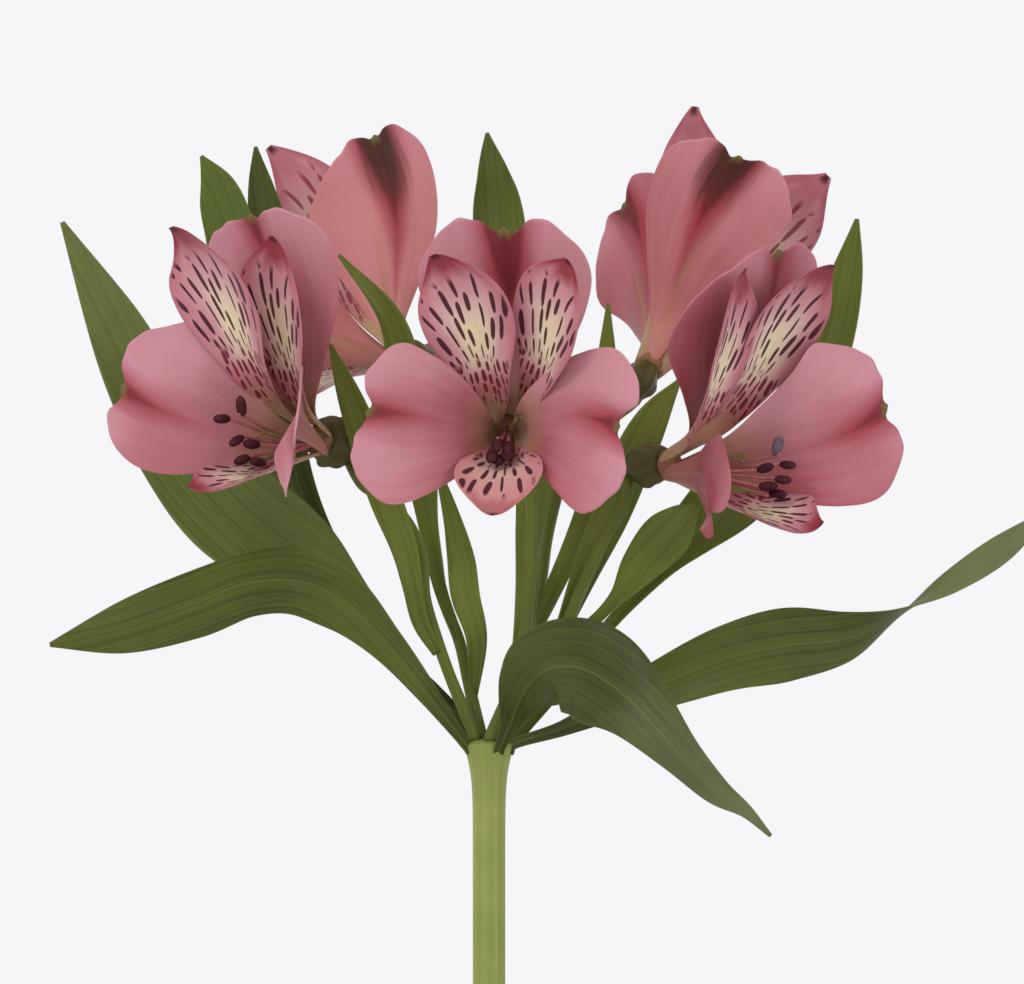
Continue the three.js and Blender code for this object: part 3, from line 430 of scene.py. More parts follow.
# Each bloom's foot from the fork, and its turn: yaw from -Y towards +X, pitch up and roll. bend is how far
# its ovary curves. Then how single petals differ from their form: degrees turned about the forward axis,
# swung out and dipped, length, width, degrees rolled, how far the tip moves, and for some their own EDGE.
# Within the CLAW, in mm from the foot, these fade out.
CLAW = 10
AS_DRAWN = (0, 0, 0, 1, 1, 0, (0, 0, 0))
EDGE = ("round", "notch", "notchAt", "notchWide", "skew")
BLOOMS = {
    "left": {
        "foot": (-34.6, -6, 63.9), "yaw": -40, "pitch": 0, "roll": -3, "bend": 75,
        "upper": (1.5, 10.5, 0.4, 0.98, 0.98, 12, (0.5, -7.6, -0.3), 0.25, 0.04, 0.13, 0.3, 0.01),
        "innerMinus": (-3.2, 12.3, -3.7, 1.16, 1.24, -2.5, (2.5, 0.4, -8.2)),
        "innerPlus": (6.3, 8.2, -2.1, 0.98, 0.98, 6.1, (0.9, -3.1, -2.8)),
        "sideMinus": (-2.7, 4.8, 2.9, 0.98, 1.07, 11.7, (0.5, -1.1, 6.1), 0.38, 0.08, -0.15, 0.25, 0.06),
        "lower": (-0.8, 4.1, 7.2, 0.95, 0.81, 2.1, (0.6, -5.4, 5.8)),
        "sidePlus": (-14.5, 1.6, -16.2, 1.22, 0.71, -9.6, (3.3, 1.2, -16.7), 0.25, 0.09, 0, 0.26, 0.07),
    },
    "left_back": {
        "foot": (-18.4, 20, 82), "yaw": -142, "pitch": 3, "roll": 4, "bend": 50,
        "upper": (-1, -12.7, -0.4, 0.95, 0.84, -32, (-1.2, 7.1, 0.5), 0.26, 0.05, -0.34, 0.22, -0.13),
        "sideMinus": (25, -18, 10, 1, 1, 0, (0, 0, 0)),
        "innerPlus": (-1.2, -13.9, -8.3, 1.03, 0.92, -31.4, (1.4, 7.6, -5.9)),
        "sidePlus": (6, 0, 0, 1, 1, 0, (0, 0, 0)),
    },
    "centre": {
        "foot": (4, -14, 66.4), "yaw": -4, "pitch": -10, "roll": -2, "bend": 40,
        "upper": (-0.8, 2, 1.6, 0.93, 1, 0.2, (0.2, -3.6, 5.4), 0.3, 0.1, 0.05, 0.29, -0.01),
        "innerMinus": (15.5, 16.8, -7.3, 1, 1, -6.6, (1.6, 2.1, -4.6)),
        "innerPlus": (2.3, 7.2, -3.2, 1.09, 0.97, -28.1, (1.8, -5.1, -8.2)),
        "sideMinus": (1.1, 3.4, -0.4, 1.04, 0.99, 6.3, (1.4, -3.4, -1.3), 0.23, 0.09, 0.11, 0.29, -0.04),
        "sidePlus": (-3, -1, -6.8, 1.04, 1.02, -8.1, (1.1, 0.9, -8.4), 0.22, 0.13, -0.12, 0.26, 0.03),
        "lower": (3.3, 1, -2.9, 0.94, 0.96, 2.2, (3.6, -1.4, -2.5)),
    },
    "right": {
        "foot": (36.7, -6, 58.9), "yaw": 52.5, "pitch": -1, "roll": 3, "bend": 40,
        "upper": (3.8, 3.3, 6, 0.95, 1.16, -11.4, (2.1, -3.7, 2.8), 0.37, 0.07, 0.32, 0.23, 0.11),
        "innerPlus": (11.4, 6.9, -6.8, 1.03, 1, -6.8, (10.6, -8.3, -8.8)),
        "innerMinus": (-2.4, -14.2, 0.4, 0.95, 0.97, -6.2, (1, 6.9, -0.1)),
        "sidePlus": (3.3, -3.7, 4.4, 1.04, 1.11, 3.6, (0.1, 0.5, 6.7), 0.32, 0.07, 0.1, 0.31, -0.06),
        "lower": (2.8, -1.1, 12.1, 1.04, 0.99, 3.9, (-2.3, 3.4, 7.6)),
        "sideMinus": (
            19.8, -13.1, -4.3, 1.15, 0.76, -18.6, (-3.9, 9.1, -11.1), 0.3, 0.09, -0.14, 0.27, 0.01,
        ),
    },
    "right_back": {
        "foot": (33.5, 18, 79), "yaw": 152, "pitch": 29, "roll": 30, "bend": 50,
        "upper": (3, 14.6, 1.1, 1.01, 0.84, 14.7, (0.1, -4.7, -2.2), 0.19, 0.06, 0.12, 0.3, -0.03),
        "innerPlus": (-0.9, 3.4, 0, 1, 0.97, -1.1, (0.3, -1.6, 1)),
        "innerMinus": (0.7, -2.2, -0.5, 1.02, 1.01, -0.6, (-0.9, 0.8, -1)),
        "sidePlus": (-1.5, 3.3, 3.1, 1.01, 1.11, 16.4, (3.8, -1, -1.9), 0.3, 0.1, -0.33, 0.24, -0.07),
    },
}

# Stalks: routes from the fork, and the bracts that grow from them
STALKS = {
    "left": {
        "swell": 1.5,
        "route": [
            [-2.58, -0.94, 1.1], [-7.6, -2.6, 13], [-11, -3.6, 22.5], [-13.4, -4.2, 31], [-14, -4.6, 39],
            [-16.4, -4.6, 45.6], [-21.4, -4, 51.6], [-26.4, -3.4, 54.6],
        ],
        "bracts": [[
            [-10.8, -4.2, 19.4, 1, 0.3, 0], [-14.2, -6.6, 26, 1.8, 0.2, 0], [-16, -8, 34, 2.2, 0.15, 0],
            [-17.8, -8.8, 42, 2.8, 0.15, 0], [-21.6, -9.2, 52, 3.4, 0.1, 0], [-25.6, -9, 63.6, 3.4, 0.1, 0],
            [-29.4, -8, 74, 2.4, 0.1, 0], [-33.2, -7, 84, 0.4, 0.1, 0],
        ]],
    },
    "left_back": {
        "route": [
            [-1.69, 2.17, 1.1], [-4.4, 5, 13], [-6.4, 8, 21.7], [-9.8, 11, 30.5], [-11.2, 14, 39],
            [-12.2, 17, 47.4], [-12.2, 20, 57.6], [-11.6, 22, 69],
        ],
        "bracts": [[
            [-6, 7.4, 21, 1, 0.3, 0], [-10.4, 8.4, 33, 1.4, 0.2, 0], [-13, 9.6, 46, 2, 0.15, 0],
            [-15, 10, 62, 3.6, 0.1, 0], [-17.4, 9, 76, 3.8, 0.1, 0], [-21, 6, 90, 2.6, 0.1, 10],
            [-31.6, 1, 103, 0.4, 0.1, 20],
        ], [
            [-3.4, 4.2, 10.4, 1, 0.3, 0], [-2.6, 3, 22, 2.2, 0.2, 0], [-4.9, 2, 31, 3, 0.15, 0],
            [-5.9, 2, 39, 2.9, 0.1, 0], [-7.9, 3, 48, 1.8, 0.1, 0], [-11.4, 4, 60, 0.4, 0.1, 0],
        ]],
    },
    "centre": {
        "route": [
            [0.1, -2.75, 1.1], [4.2, -3.4, 11.2], [7, -2.6, 20], [8.4, -1.6, 31], [9, -1.4, 43],
            [8.4, -3.6, 54],
        ],
        "bracts": [[
            [5, -2, 13, 1, 0.3, 0], [7, 1.4, 22, 2, 0.2, 0], [8, 3, 34.6, 2.4, 0.15, 0],
            [7.8, 4, 47.2, 2.2, 0.1, 0], [7.4, 4.4, 57.8, 1.4, 0.1, 0], [7, 4.6, 66.2, 0.4, 0.1, 0],
        ]],
    },
    "right": {
        "swell": 1.2,
        "route": [
            [2.64, -0.76, 1.1], [8.6, -1.4, 10.4], [13.8, -3.6, 20], [19, -5, 32], [24, -4.6, 43],
            [28.4, -3.2, 51],
        ],
        "bracts": [[
            [13.6, -3.2, 20, 1, 0.3, 0], [20, -1, 35.7, 2.8, 0.2, 0], [25.4, 3.4, 48, 4, 0.15, 0],
            [30, 6.6, 59.4, 4.4, 0.1, 0], [34.6, 7.4, 68.7, 3.4, 0.1, 0], [40.4, 8, 77, 0.4, 0.1, 0],
        ], [
            [14.8, -4, 21, 1, 0.3, 0], [20.6, -6, 25, 1.2, 0.2, 0], [26.4, -7.6, 30.8, 1.6, 0.15, 0],
            [31.4, -9, 37.6, 4, 0.1, 0], [36.6, -10, 43.6, 5.2, 0.1, 0], [40.4, -10, 47.6, 3.4, 0.1, 0],
            [43.6, -9.6, 50.4, 0.4, 0.1, 0],
        ]],
    },
    "right_back": {
        "route": [
            [1.54, 2.28, 1.1], [4.9, 5, 10.4], [8, 8, 20], [10.6, 11, 32.3], [12.8, 14, 46],
            [16.4, 14.6, 57.6], [23.4, 13.4, 66.4],
        ],
        "bracts": [[
            [8.4, 7.8, 21, 1, 0.3, 0], [12.4, 8.4, 30, 1.8, 0.2, 0], [17, 9, 40, 2.2, 0.15, 0],
            [21.4, 9.4, 50.6, 2.8, 0.1, 0], [24, 9.8, 63, 3, 0.1, 0], [24.8, 10, 78, 2.4, 0.1, 0],
            [25.2, 10, 93, 0.4, 0.1, 0],
        ]],
    },
}

# Where each filament ends, forward, sideways and up, and how far its anther leans up in degrees
ANTHERS = {
    "plain": [
        [23.1, -3.9, 3, 15], [21.6, 0.3, 4, 17], [22.6, 3.6, 0.7, 12], [20.6, -2.4, -1.6, 8],
        [19.2, 1.2, -2.5, 6], [17.2, -0.7, -2.7, 5],
    ],
    "left": [
        [25.9, -3, 4.1, 0], [23.6, -1.4, 4.7, 75], [23.7, -1, 0.6, -25], [20.2, 0.4, -1.1, 5],
        [23, 0.2, -3.6, -15], [19.9, 2, -4.9, 10],
    ],
    "centre": [
        [23.2, -0.5, 1.7, -35], [22.1, 1.7, 1, -30], [24.3, -1.6, -0.8, -25], [23.6, 1.6, -0.6, -20],
        [22.6, -0.2, -2.3, -6], [20.4, 2, -1.6, -4],
    ],
    "right": [
        [25.8, 3.4, 2, 70], [26.9, 3.6, 0.3, -5], [26.4, 2.4, -2.7, -5], [24.5, 3, -5.7, -5],
        [23.2, 1.2, -4.2, 0], [22.7, 1.4, -1, 15],
    ],
}
STYLES = {
    "plain": [[9, 0, 0.2], [18.5, 0.4, 1.6]],
    "centre": [[8, 1.2, 1.2], [13.6, 2.9, 4.8]],
}

# The leaves of the whorl, from the fork
LEAVES = {
    "leaf_left_high": [
        [-5.4, 1.97, 0.7, 1.1, 0.3, 0], [-18, 7, 17.6, 2.4, 0.3, 10], [-29.4, 10, 29.2, 5.2, 0.25, 15],
        [-40.1, 12, 38.4, 9.4, 0.25, 10], [-53.8, 13, 49.4, 11.2, 0.25, 0], [-65, 13, 62.8, 10, 0.25, -5],
        [-73, 12, 75.8, 7.8, 0.25, -5], [-80, 10, 90, 5.6, 0.25, 0], [-90.1, 6, 110.1, 0.5, 0.2, 0],
    ],
    "leaf_left_low": [
        [-5.08, -2.7, 0.7, 1.1, 0.3, 0], [-12.2, -7.4, 10.4, 2.2, 0.35, -10],
        [-21, -10, 21.6, 4.2, 0.3, -20], [-29.9, -13, 30.4, 6.6, 0.2, -20], [-39.5, -16, 34.6, 7, 0.1, 0],
        [-50.3, -20, 34, 6.8, -0.1, 15], [-61.5, -23, 29.8, 7, -0.15, 15], [-75.8, -25, 25, 5.2, -0.1, 5],
        [-90.2, -25, 21.7, 0.5, 0, 0],
    ],
    "leaf_front": [
        [2.5, -5.2, 0.45, 1.3, 0.3, 20], [4.6, -8.4, 5.2, 2.3, 0.25, 15], [6.1, -12, 9.3, 4.2, 0.25, 10],
        [8.4, -16, 13.3, 6.8, 0.1, 8], [12.1, -21, 16.6, 9, 0.1, 5], [18.2, -27, 17.2, 10.2, -0.08, 0],
        [24, -32, 14.5, 9.9, -0.08, 0], [30.5, -38, 9.2, 7.2, -0.08, -4], [38.8, -43, 0.1, 4.3, -0.08, 0],
        [46, -46, -7.1, 2.9, -0.08, 5], [52, -47.6, -11.2, 1.4, -0.08, 0],
        [57, -48.4, -16.2, 0.4, -0.08, 0],
    ],
    "leaf_right_low": [
        [5.64, -1.72, 0.5, 1.1, 0.3, 0], [15.4, -3, 3.6, 1.6, 0.4, 0], [25.8, -4, 8.4, 3.2, 0.3, 0],
        [37.4, -6, 13.6, 5.2, 0.2, 0], [49.7, -8, 18.5, 6.8, 0.1, 0], [61.7, -9, 21.2, 7.8, -0.1, 5],
        [74.4, -9, 22.7, 6, -0.1, 25], [85.8, -8, 27.9, 3.6, 0, 80], [95.9, -6, 34, 3.4, 0, 130],
        [107.3, -3, 41.3, 3.2, 0, 150], [118.2, 0, 49.6, 0.5, 0, 150],
    ],
    "leaf_right_high": [
        [5.25, 2.34, 0.7, 1.1, 0.3, 0], [15, 7, 12.4, 1.6, 0.3, -10], [25.2, 10, 24.6, 1.6, 0.28, -27.5],
        [35, 12, 34.4, 2.6, 0.28, -35], [43, 13, 43.6, 5.7, 0.28, -25], [53.6, 14, 53.6, 8.2, 0.28, -25],
        [65.6, 15, 68, 7.7, 0.28, -25], [73.2, 15, 85, 5.1, 0.28, -25], [76.2, 15, 98.6, 3.8, 0.28, -25],
        [78.2, 15, 111.2, 0.5, 0.1, -25],
    ],
    "leaf_back_centre": [
        [2.52, 5.17, 0.7, 1.1, 0.3, 0], [6, 13, 13.4, 1.8, 0.3, 0], [9, 20, 30.2, 2.5, 0.28, 15],
        [9.6, 25, 51.4, 3.9, 0.28, 30], [6.8, 27, 72.7, 6.5, 0.28, 30], [2.9, 27, 91.9, 6.7, 0.28, 30],
        [1, 26, 112.2, 6.2, 0.28, 30], [0.2, 25, 121.8, 3.9, 0.28, 30], [-0.5, 24, 130.1, 0.4, 0.1, 30],
    ],
    "leaf_back_left_outer": [
        [-3.7, 4.4, 0.7, 1.1, 0.3, 0], [-12.4, 9.4, 10, 1.4, 0.3, 0], [-20.8, 12.6, 17.8, 1.5, 0.28, -14],
        [-30.2, 17, 30, 2.3, 0.28, -28], [-40.6, 18.6, 45, 3.4, 0.28, -28], [-47.6, 18.8, 60, 5, 0.28, -28],
        [-50.6, 18.8, 77, 6.1, 0.28, -28], [-52.2, 18.6, 94, 6.8, 0.28, -28],
        [-54, 18.4, 107, 6.3, 0.28, -28], [-57, 18, 117, 5, 0.28, -28], [-61.4, 18, 124.8, 0.4, 0.1, -28],
    ],
    "leaf_back_left_inner": [
        [-0.8, 5.69, 0.7, 1.1, 0.3, 0], [-11, 13.4, 10.4, 1.4, 0.3, 0], [-19, 17.6, 18, 1.6, 0.25, 16],
        [-28, 22, 30, 2.1, 0.25, 32], [-36.8, 23.6, 45, 2.8, 0.25, 32], [-42.4, 23.8, 60, 4, 0.25, 32],
        [-45.2, 23.6, 77, 5.2, 0.25, 32], [-46.8, 23.2, 94, 5.7, 0.25, 32], [-48, 22.8, 108, 5, 0.25, 32],
        [-49.2, 22.4, 118, 3.3, 0.25, 32], [-50, 22, 127, 0.4, 0.1, 32],
    ],
}

# A leaf of the lower stem: outwards, sideways and up from its root
STEM_LEAF_ROWS = [
    [4.7, 0, 0, 1.6, 0.3, 0], [9, 0, 14, 3.2, 0.3, 0], [18, 1, 27, 6, 0.25, 8], [30, 2, 35, 8, 0.2, 12],
    [43, 2, 36, 7.4, 0.15, 8], [54, 1, 31, 5, 0.1, 0], [62, 0, 24, 0.5, 0.1, 0],
]
STEM_LEAVES = [
    {"height": 116, "azimuth": 205},
    {"height": 131, "azimuth": 335},
    {"height": 146, "azimuth": 85},
]

# Looks. Colours are 0 to 255 as they show. The other numbers were found by comparing tones.
PETAL_FINISH = {"Sheen Weight": 0.05, "Specular IOR Level": 0.16}
GREEN_FINISH = {"Specular IOR Level": 0.14}
PLAIN_FINISH = {"Specular IOR Level": 0.2}
# The dashes of a narrow petal fan out from a point this far along it, and it is about this long in mm
FAN_FOOT = 0.22
FAN_LENGTH = 26.0


def outer_paint():
    """A broad plain petal: pink with soft streaks, a red halo below its notch, and there a dark wedge and a
    dark crease line that are partly its own dark red and partly painted shade.
    """
    paint = Paint("petal_outer", 0.5, PETAL_FINISH)
    across, along = paint.blade()
    back, reach, notch, flush, warm, patch = (paint.value(mark) for mark in MARKS[1:])
    from_notch = notch.size()
    streak = paint.noise(paint.vector(across * 6.0, along * 1.3, warm * 9.0), 1.0, 3.0, 0.55)
    fine = paint.noise(paint.vector(across * 38.0, along * 1.8, patch * 5.0), 1.0, 2.0, 0.6)
    cloud = paint.noise(paint.place(), 42.0, 2.0)
    depth = flush + (streak - 0.5) * 0.5 + (fine - 0.5) * 0.16 + (cloud - 0.5) * 0.9
    depth = depth + along.ease(0.75, 0.2) * 0.3 - along.ease(0.68, 1.0) * 0.35
    depth = depth + from_notch.ease(0.55, 0.0) * reach.ease(0.4, 0.9) * 0.5 - 0.08
    pale = paint.mix(warm, (192, 136, 142), (198, 122, 120))
    rose = paint.mix(warm, (176, 109, 116), (178, 91, 91))
    deep = paint.mix(warm, (154, 68, 76), (136, 52, 54))
    paint.colour = paint.mix(depth.ease(0.0, 0.6), pale, rose)
    paint.lay(depth.ease(0.5, 1.15), deep)
    rim = along.ease(0.8, 1.0)
    paint.lay(rim * 0.35, (196, 134, 152))
    throat = along.ease(0.44, 0.12) * (back * -0.55 + 0.85)
    paint.lay(throat, (190, 148, 114))
    rib = across.size().ease(0.16, 0.02) * along.ease(0.8, 0.3) * back
    paint.lay(rib * 0.5, (160, 122, 84))
    near = reach - 1.0 + (streak - 0.5) * 0.12
    halo = (near * 0.8 + patch * 0.7 - from_notch * 1.2).ease(0.0, 0.42)
    paint.lay(halo * 0.85, (150, 50, 58))
    # A dark red line in the crease running in from the notch: partly the petal's own dark red, partly
    # painted shade where the upper lobe bulges over the lower one
    crease_shade = (near * 0.45 + 0.14 - from_notch).ease(0.0, 0.1)
    paint.lay(crease_shade * patch.ease(0.0, 0.6) * 0.7, (112, 34, 40))
    # A dark wedge below the notch: partly the petal's own dark red, partly painted shade of the recessed
    # channel between the lobes
    wedge = (near + patch.square() * 0.42 - from_notch * 1.3).ease(0.0, 0.14)
    paint.lay(wedge * patch.ease(0.5, 0.9) * 0.8, (100, 32, 34))
    oval = (from_notch / 0.36).square() + ((along - 0.9) / 0.22).square()
    ragged = oval + (streak - 0.5) * 2.4 + (fine - 0.5) * 1.4
    blotch = ragged.ease(1.4, -0.3) * patch.ease(0.96, 1.0)
    paint.lay(blotch * 0.85, (56, 42, 26))
    nib = reach.ease(0.955, 0.99) * from_notch.ease(0.1, 0.03)
    paint.lay(nib * 0.8, (106, 102, 50))
    return paint.finish(streak * 0.7 + fine * 0.25 + cloud, 0.12, 0.35)


def inner_paint(name, pale, rose, cream, dipped, rows, cells, thick, seed, share):
    """A narrow petal: pink round a cream middle, maroon dashes in a fan, and a tip dipped in dark red."""
    paint = Paint(name, 0.5, PETAL_FINISH)
    across, along = paint.blade()
    span, back, flush = (paint.value(mark) for mark in ("span", "back", "flush"))
    cloud = paint.noise(paint.vector(across * 2.0, along * 5.0, flush * 7.0), 1.0, 2.0)
    fine = paint.noise(paint.vector(across * 26.0, along * 2.0, seed), 1.0, 2.0, 0.6)
    margin = across.size() + (cloud - 0.5) * 0.6
    depth = margin.ease(0.5, 1.1) * 0.7 + flush + (fine - 0.5) * 0.4 + along.ease(0.65, 0.95) * 0.5
    paint.colour = paint.mix(depth.above(0.0).below(1.0), pale, rose)
    spread = (span / (along * 9.0 + 3.2)).size() + (cloud - 0.5) * 0.5
    middle = spread.ease(0.95, 0.25) * along.ease(0.3, 0.45) * along.ease(0.84, 0.6)
    paint.lay(middle * cream * 0.7, (220, 190, 178))
    heart = spread.ease(0.75, 0.05) * along.ease(0.34, 0.5) * along.ease(0.76, 0.56)
    paint.lay(heart * (back * -0.6 + 1.0) * cream, (226, 212, 174))
    throat = along.ease(0.42, 0.28)
    paint.lay(throat * 0.6, (172, 98, 92))
    claw = along.ease(0.32, 0.12)
    paint.lay(claw * 0.8, (164, 138, 96))
    tip = (along + (cloud - 0.5) * 0.16 - across.size() * 0.03).ease(0.8, 0.92)
    paint.lay(tip * dipped * (back * -0.6 + 1.0), (136, 40, 50))
    point = along.ease(0.955, 0.985) * across.size().ease(0.8, 0.3)
    paint.lay(point, (78, 30, 30))
    ahead = ((along - FAN_FOOT) * FAN_LENGTH).above(0.5)
    ray = span.math("ARCTAN2", ahead)
    distance = (span.square() + ahead.square()).math("SQRT") / FAN_LENGTH
    dash = paint.dashes(ray, distance, rows, cells, thick, seed, share) * along.ease(0.42, 0.46)
    spot = paint.dashes(span * 0.1, along, rows=8.0, cells=19.0, thick=0.26, seed=seed + 4.0, share=0.9)
    dash = dash.above(spot * along.ease(0.46, 0.42))
    dash = dash * along.ease(0.17, 0.22) * along.ease(0.88, 0.82) * across.size().ease(0.98, 0.9)
    ink = paint.mix(along.ease(0.48, 0.4), (66, 18, 32), (116, 32, 46))
    ink = paint.mix(back, ink, (132, 34, 46))
    paint.lay(dash * (back * -0.15 + 0.96), ink)
    return paint.finish(fine * 0.5 - dash * 0.3, 0.12, 0.4)


def leaf_paint(name, dark, light, outer_grey=0.0):
    """A leaf: two greens, fine lengthwise veins and a paler midrib. outer_grey makes its outer half lighter
    and greyer.
    """
    paint = Paint(name, 0.42, GREEN_FINISH)
    across, along = paint.blade()
    span, back = paint.value("span"), paint.value("back")
    vein = paint.noise(paint.vector(span * 1.2, along), 1.0, 3.0, 0.6)
    line = paint.noise(paint.vector(span * 5.0, along * 1.5), 1.0, 2.0, 0.6)
    cloud = paint.noise(paint.place(), 40.0, 3.0)
    depth = (vein - 0.5) * 1.8 + (line - 0.5) * 0.8 + (cloud - 0.5) * 1.3 + back * 0.2 + along * 0.1 + 0.22
    depth = depth + along.ease(0.16, 0.34) * along.ease(0.65, 0.42) * 0.4
    paint.colour = paint.mix(depth.ease(-0.2, 1.1), dark, light)
    rib = span.size().ease(0.5, 0.1) * along.ease(1.0, 0.6)
    paint.lay(rib * 0.24, (118, 132, 70))
    edge = across.size().ease(0.94, 1.0)
    paint.lay(edge * 0.2, (126, 138, 78))
    outer_half = along.ease(0.55, 0.95)
    paint.lay(outer_half * outer_grey * (cloud + 0.5), (124, 130, 92))
    dry_tip = along.ease(0.975, 1.0)
    paint.lay(dry_tip * 0.4, (104, 84, 46))
    return paint.finish(vein * 0.6 + line * 0.3 - rib * 0.4, 0.1, 0.4)


def stalk_paint(name, dark, light, blush=0.0):
    """A stalk or ovary: green with lengthwise lines, and a cloudy dark red blush."""
    paint = Paint(name, 0.42, GREEN_FINISH)
    across, along = paint.blade()
    line = paint.noise(paint.vector(across * 9.0, along * 2.0), 1.0, 3.0, 0.6)
    cloud = paint.noise(paint.place(), 70.0, 3.0)
    depth = (line - 0.5) * 0.9 + (cloud - 0.5) * 0.7 + 0.5
    paint.colour = paint.mix(depth.ease(0.1, 0.95), dark, light)
    paint.lay((cloud + 0.5) * blush, (96, 48, 44))
    return paint.finish(line, 0.12, 0.5)


def plain_paint(name, dark, light, roughness, scale, bump=0.1):
    """Two near colours mottled together, with a fine grain."""
    paint = Paint(name, roughness, PLAIN_FINISH)
    cloud = paint.noise(paint.place(), scale, 4.0, 0.6)
    grain = paint.noise(paint.place(), scale * 9, 2.0)
    paint.colour = paint.mix((cloud * 0.7 + grain * 0.3).ease(0.32, 0.68), dark, light)
    return paint.finish(grain, bump, 0.7)


def clay_paint():
    """Fired clay: fine rings from the wheel, pores, and a pale bloom of salts low down and at the rim."""
    paint = Paint("clay", 0.88, {"Specular IOR Level": 0.25})
    _, _, height = paint.parts(paint.place())
    ring = paint.noise(paint.vector(0.0, 0.0, height * 900.0), 1.0, 3.0, 0.7)
    cloud = paint.noise(paint.place(), 28.0, 5.0, 0.62)
    grain = paint.noise(paint.place(), 1500.0, 2.0, 0.6)
    pore = paint.noise(paint.place(), 620.0, 1.0).ease(0.66, 0.74)
    depth = cloud * 0.6 + ring * 0.25 + grain * 0.2
    paint.colour = paint.mix(depth.ease(0.3, 0.75), (158, 82, 56), (196, 117, 84))
    salt = cloud.ease(0.5, 0.72) * (height.ease(0.05, 0.0) + height.ease(0.1, 0.112)) * 0.5
    paint.lay(salt, (214, 178, 154))
    paint.lay(pore * 0.5, (120, 60, 42))
    return paint.finish(grain * 0.35 + ring * 0.5 - pore * 0.5, 0.35, 0.8)


def soil_paint():
    """Dark crumbly potting soil."""
    paint = Paint("soil", 0.95, PLAIN_FINISH)
    cloud = paint.noise(paint.place(), 90.0, 4.0, 0.65)
    grain = paint.noise(paint.place(), 900.0, 4.0, 0.7)
    fleck = paint.noise(paint.place(), 420.0, 1.0).ease(0.7, 0.76)
    paint.colour = paint.mix((cloud * 0.5 + grain * 0.5).ease(0.32, 0.66), (34, 24, 18), (84, 62, 46))
    paint.lay(fleck * 0.5, (140, 112, 84))
    return paint.finish(grain, 1.2, 1.0)


# Blooms


def fine_veins(rows, depth, swell=0.0):
    """Raised lengthwise veins on a broad soft swell, as a relief in millimetres."""

    def relief(along, v, width):
        fade = np.sin(np.pi * np.clip(along, 0, 1)) ** 0.5
        return (depth * np.cos(v * rows * np.pi) + swell * np.sin(9 * along + 4.5 * v)) * fade

    return relief


OUTER_VEINS = fine_veins(11, 0.015, 0.2)
INNER_VEINS = fine_veins(7, 0.04, 0.06)
LEAF_VEINS = fine_veins(8, 0.04, 0.12)
BRACT_VEINS = fine_veins(5, 0.06)


def mirrored_rows(rows):
    """The rows of the petal on the other side."""
    return [[x, -y, z, width, cup, -roll] for x, y, z, width, cup, roll in rows]


def set_petal(rows, turn, swing, dip, long, wide, roll, tip, *edge):
    """A petal with its tip moved, swung outwards, dipped, turned about the forward axis, and made longer,
    wider or rolled about its midrib, and the edge of its own. The claw stays in its place."""
    rows = np.array(rows, float)
    away = np.minimum(1, rows[:, 0] / CLAW)
    points = rows[:, :3] + np.outer(np.linspace(0, 1, len(rows)) ** 3, tip)
    forward, side, up = np.eye(3)
    for axis, degrees in ((up, swing * away), (side, dip * away), (forward, turn * np.ones(len(rows)))):
        points = turned(points, axis, degrees)
    rows[:, :3] = points * (1 + (long - 1) * away)[:, None]
    rows[:, 3] *= 1 + (wide - 1) * away
    rows[:, 5] += roll * away
    return rows, dict(zip(EDGE, edge))


def bloom_axes(pose):
    """The bloom's forward, side and up axes, and the up axis before its roll."""
    yaw, pitch = math.radians(pose["yaw"]), math.radians(pose["pitch"])
    ahead = np.array([math.sin(yaw), -math.cos(yaw), 0])
    forward = ahead * math.cos(pitch) + np.array([0, 0, math.sin(pitch)])
    level = ahead * -math.sin(pitch) + np.array([0, 0, math.cos(pitch)])
    up = turned(level, forward, np.array(float(pose["roll"])))
    return forward, np.cross(up, forward), up, level


def in_bloom(shapes, pose):
    """Shapes carried from the bloom's own frame to its place on the plant."""
    *axes, _ = bloom_axes(pose)
    return [(placed(shape, axes, pose["foot"]), material) for shape, material in shapes]


def bloom_pieces(name, pose, paints):
    """The six petals and the cup that joins them. The middle bloom's lowest petal has a paint of its own."""
    outer, inner, lowest, cup = range(4)
    petals = {
        "upper": (OUTER_UPPER, UPPER_SHAPE, OUTER_STEPS, outer),
        "sidePlus": (OUTER_SIDE, SIDE_SHAPE, OUTER_STEPS, outer),
        "sideMinus": (mirrored_rows(OUTER_SIDE), SIDE_SHAPE, OUTER_STEPS, outer),
        "lower": (INNER_LOWER, INNER_SHAPE, INNER_STEPS, lowest if name == "centre" else inner),
        "innerPlus": (INNER_UPPER, INNER_SHAPE, INNER_STEPS, inner),
        "innerMinus": (mirrored_rows(INNER_UPPER), INNER_SHAPE, INNER_STEPS, inner),
    }
    shapes = []
    for key, (rows, shape, steps, material) in petals.items():
        rows, own = set_petal(rows, *pose.get(key, AS_DRAWN))
        shape = {**shape, **own, "relief": OUTER_VEINS if material == outer else INNER_VEINS}
        shapes.append((blade(rows, shape, steps, TEPAL_THICKNESS, *LOOKS[name][key]), material))
    rows = [[0, 0, 0, 2.7], [0.7, 0, 0, 3.1], [1.6, 0, 0, 3.3], [2.4, 0, 0, 3.0], [3, 0, 0, 2]]
    shapes.append((tube(rows, 12, 36, ribs=6, depth=0.05), cup))
    piece(f"fine_bloom_{name}", in_bloom(shapes, pose), paints)


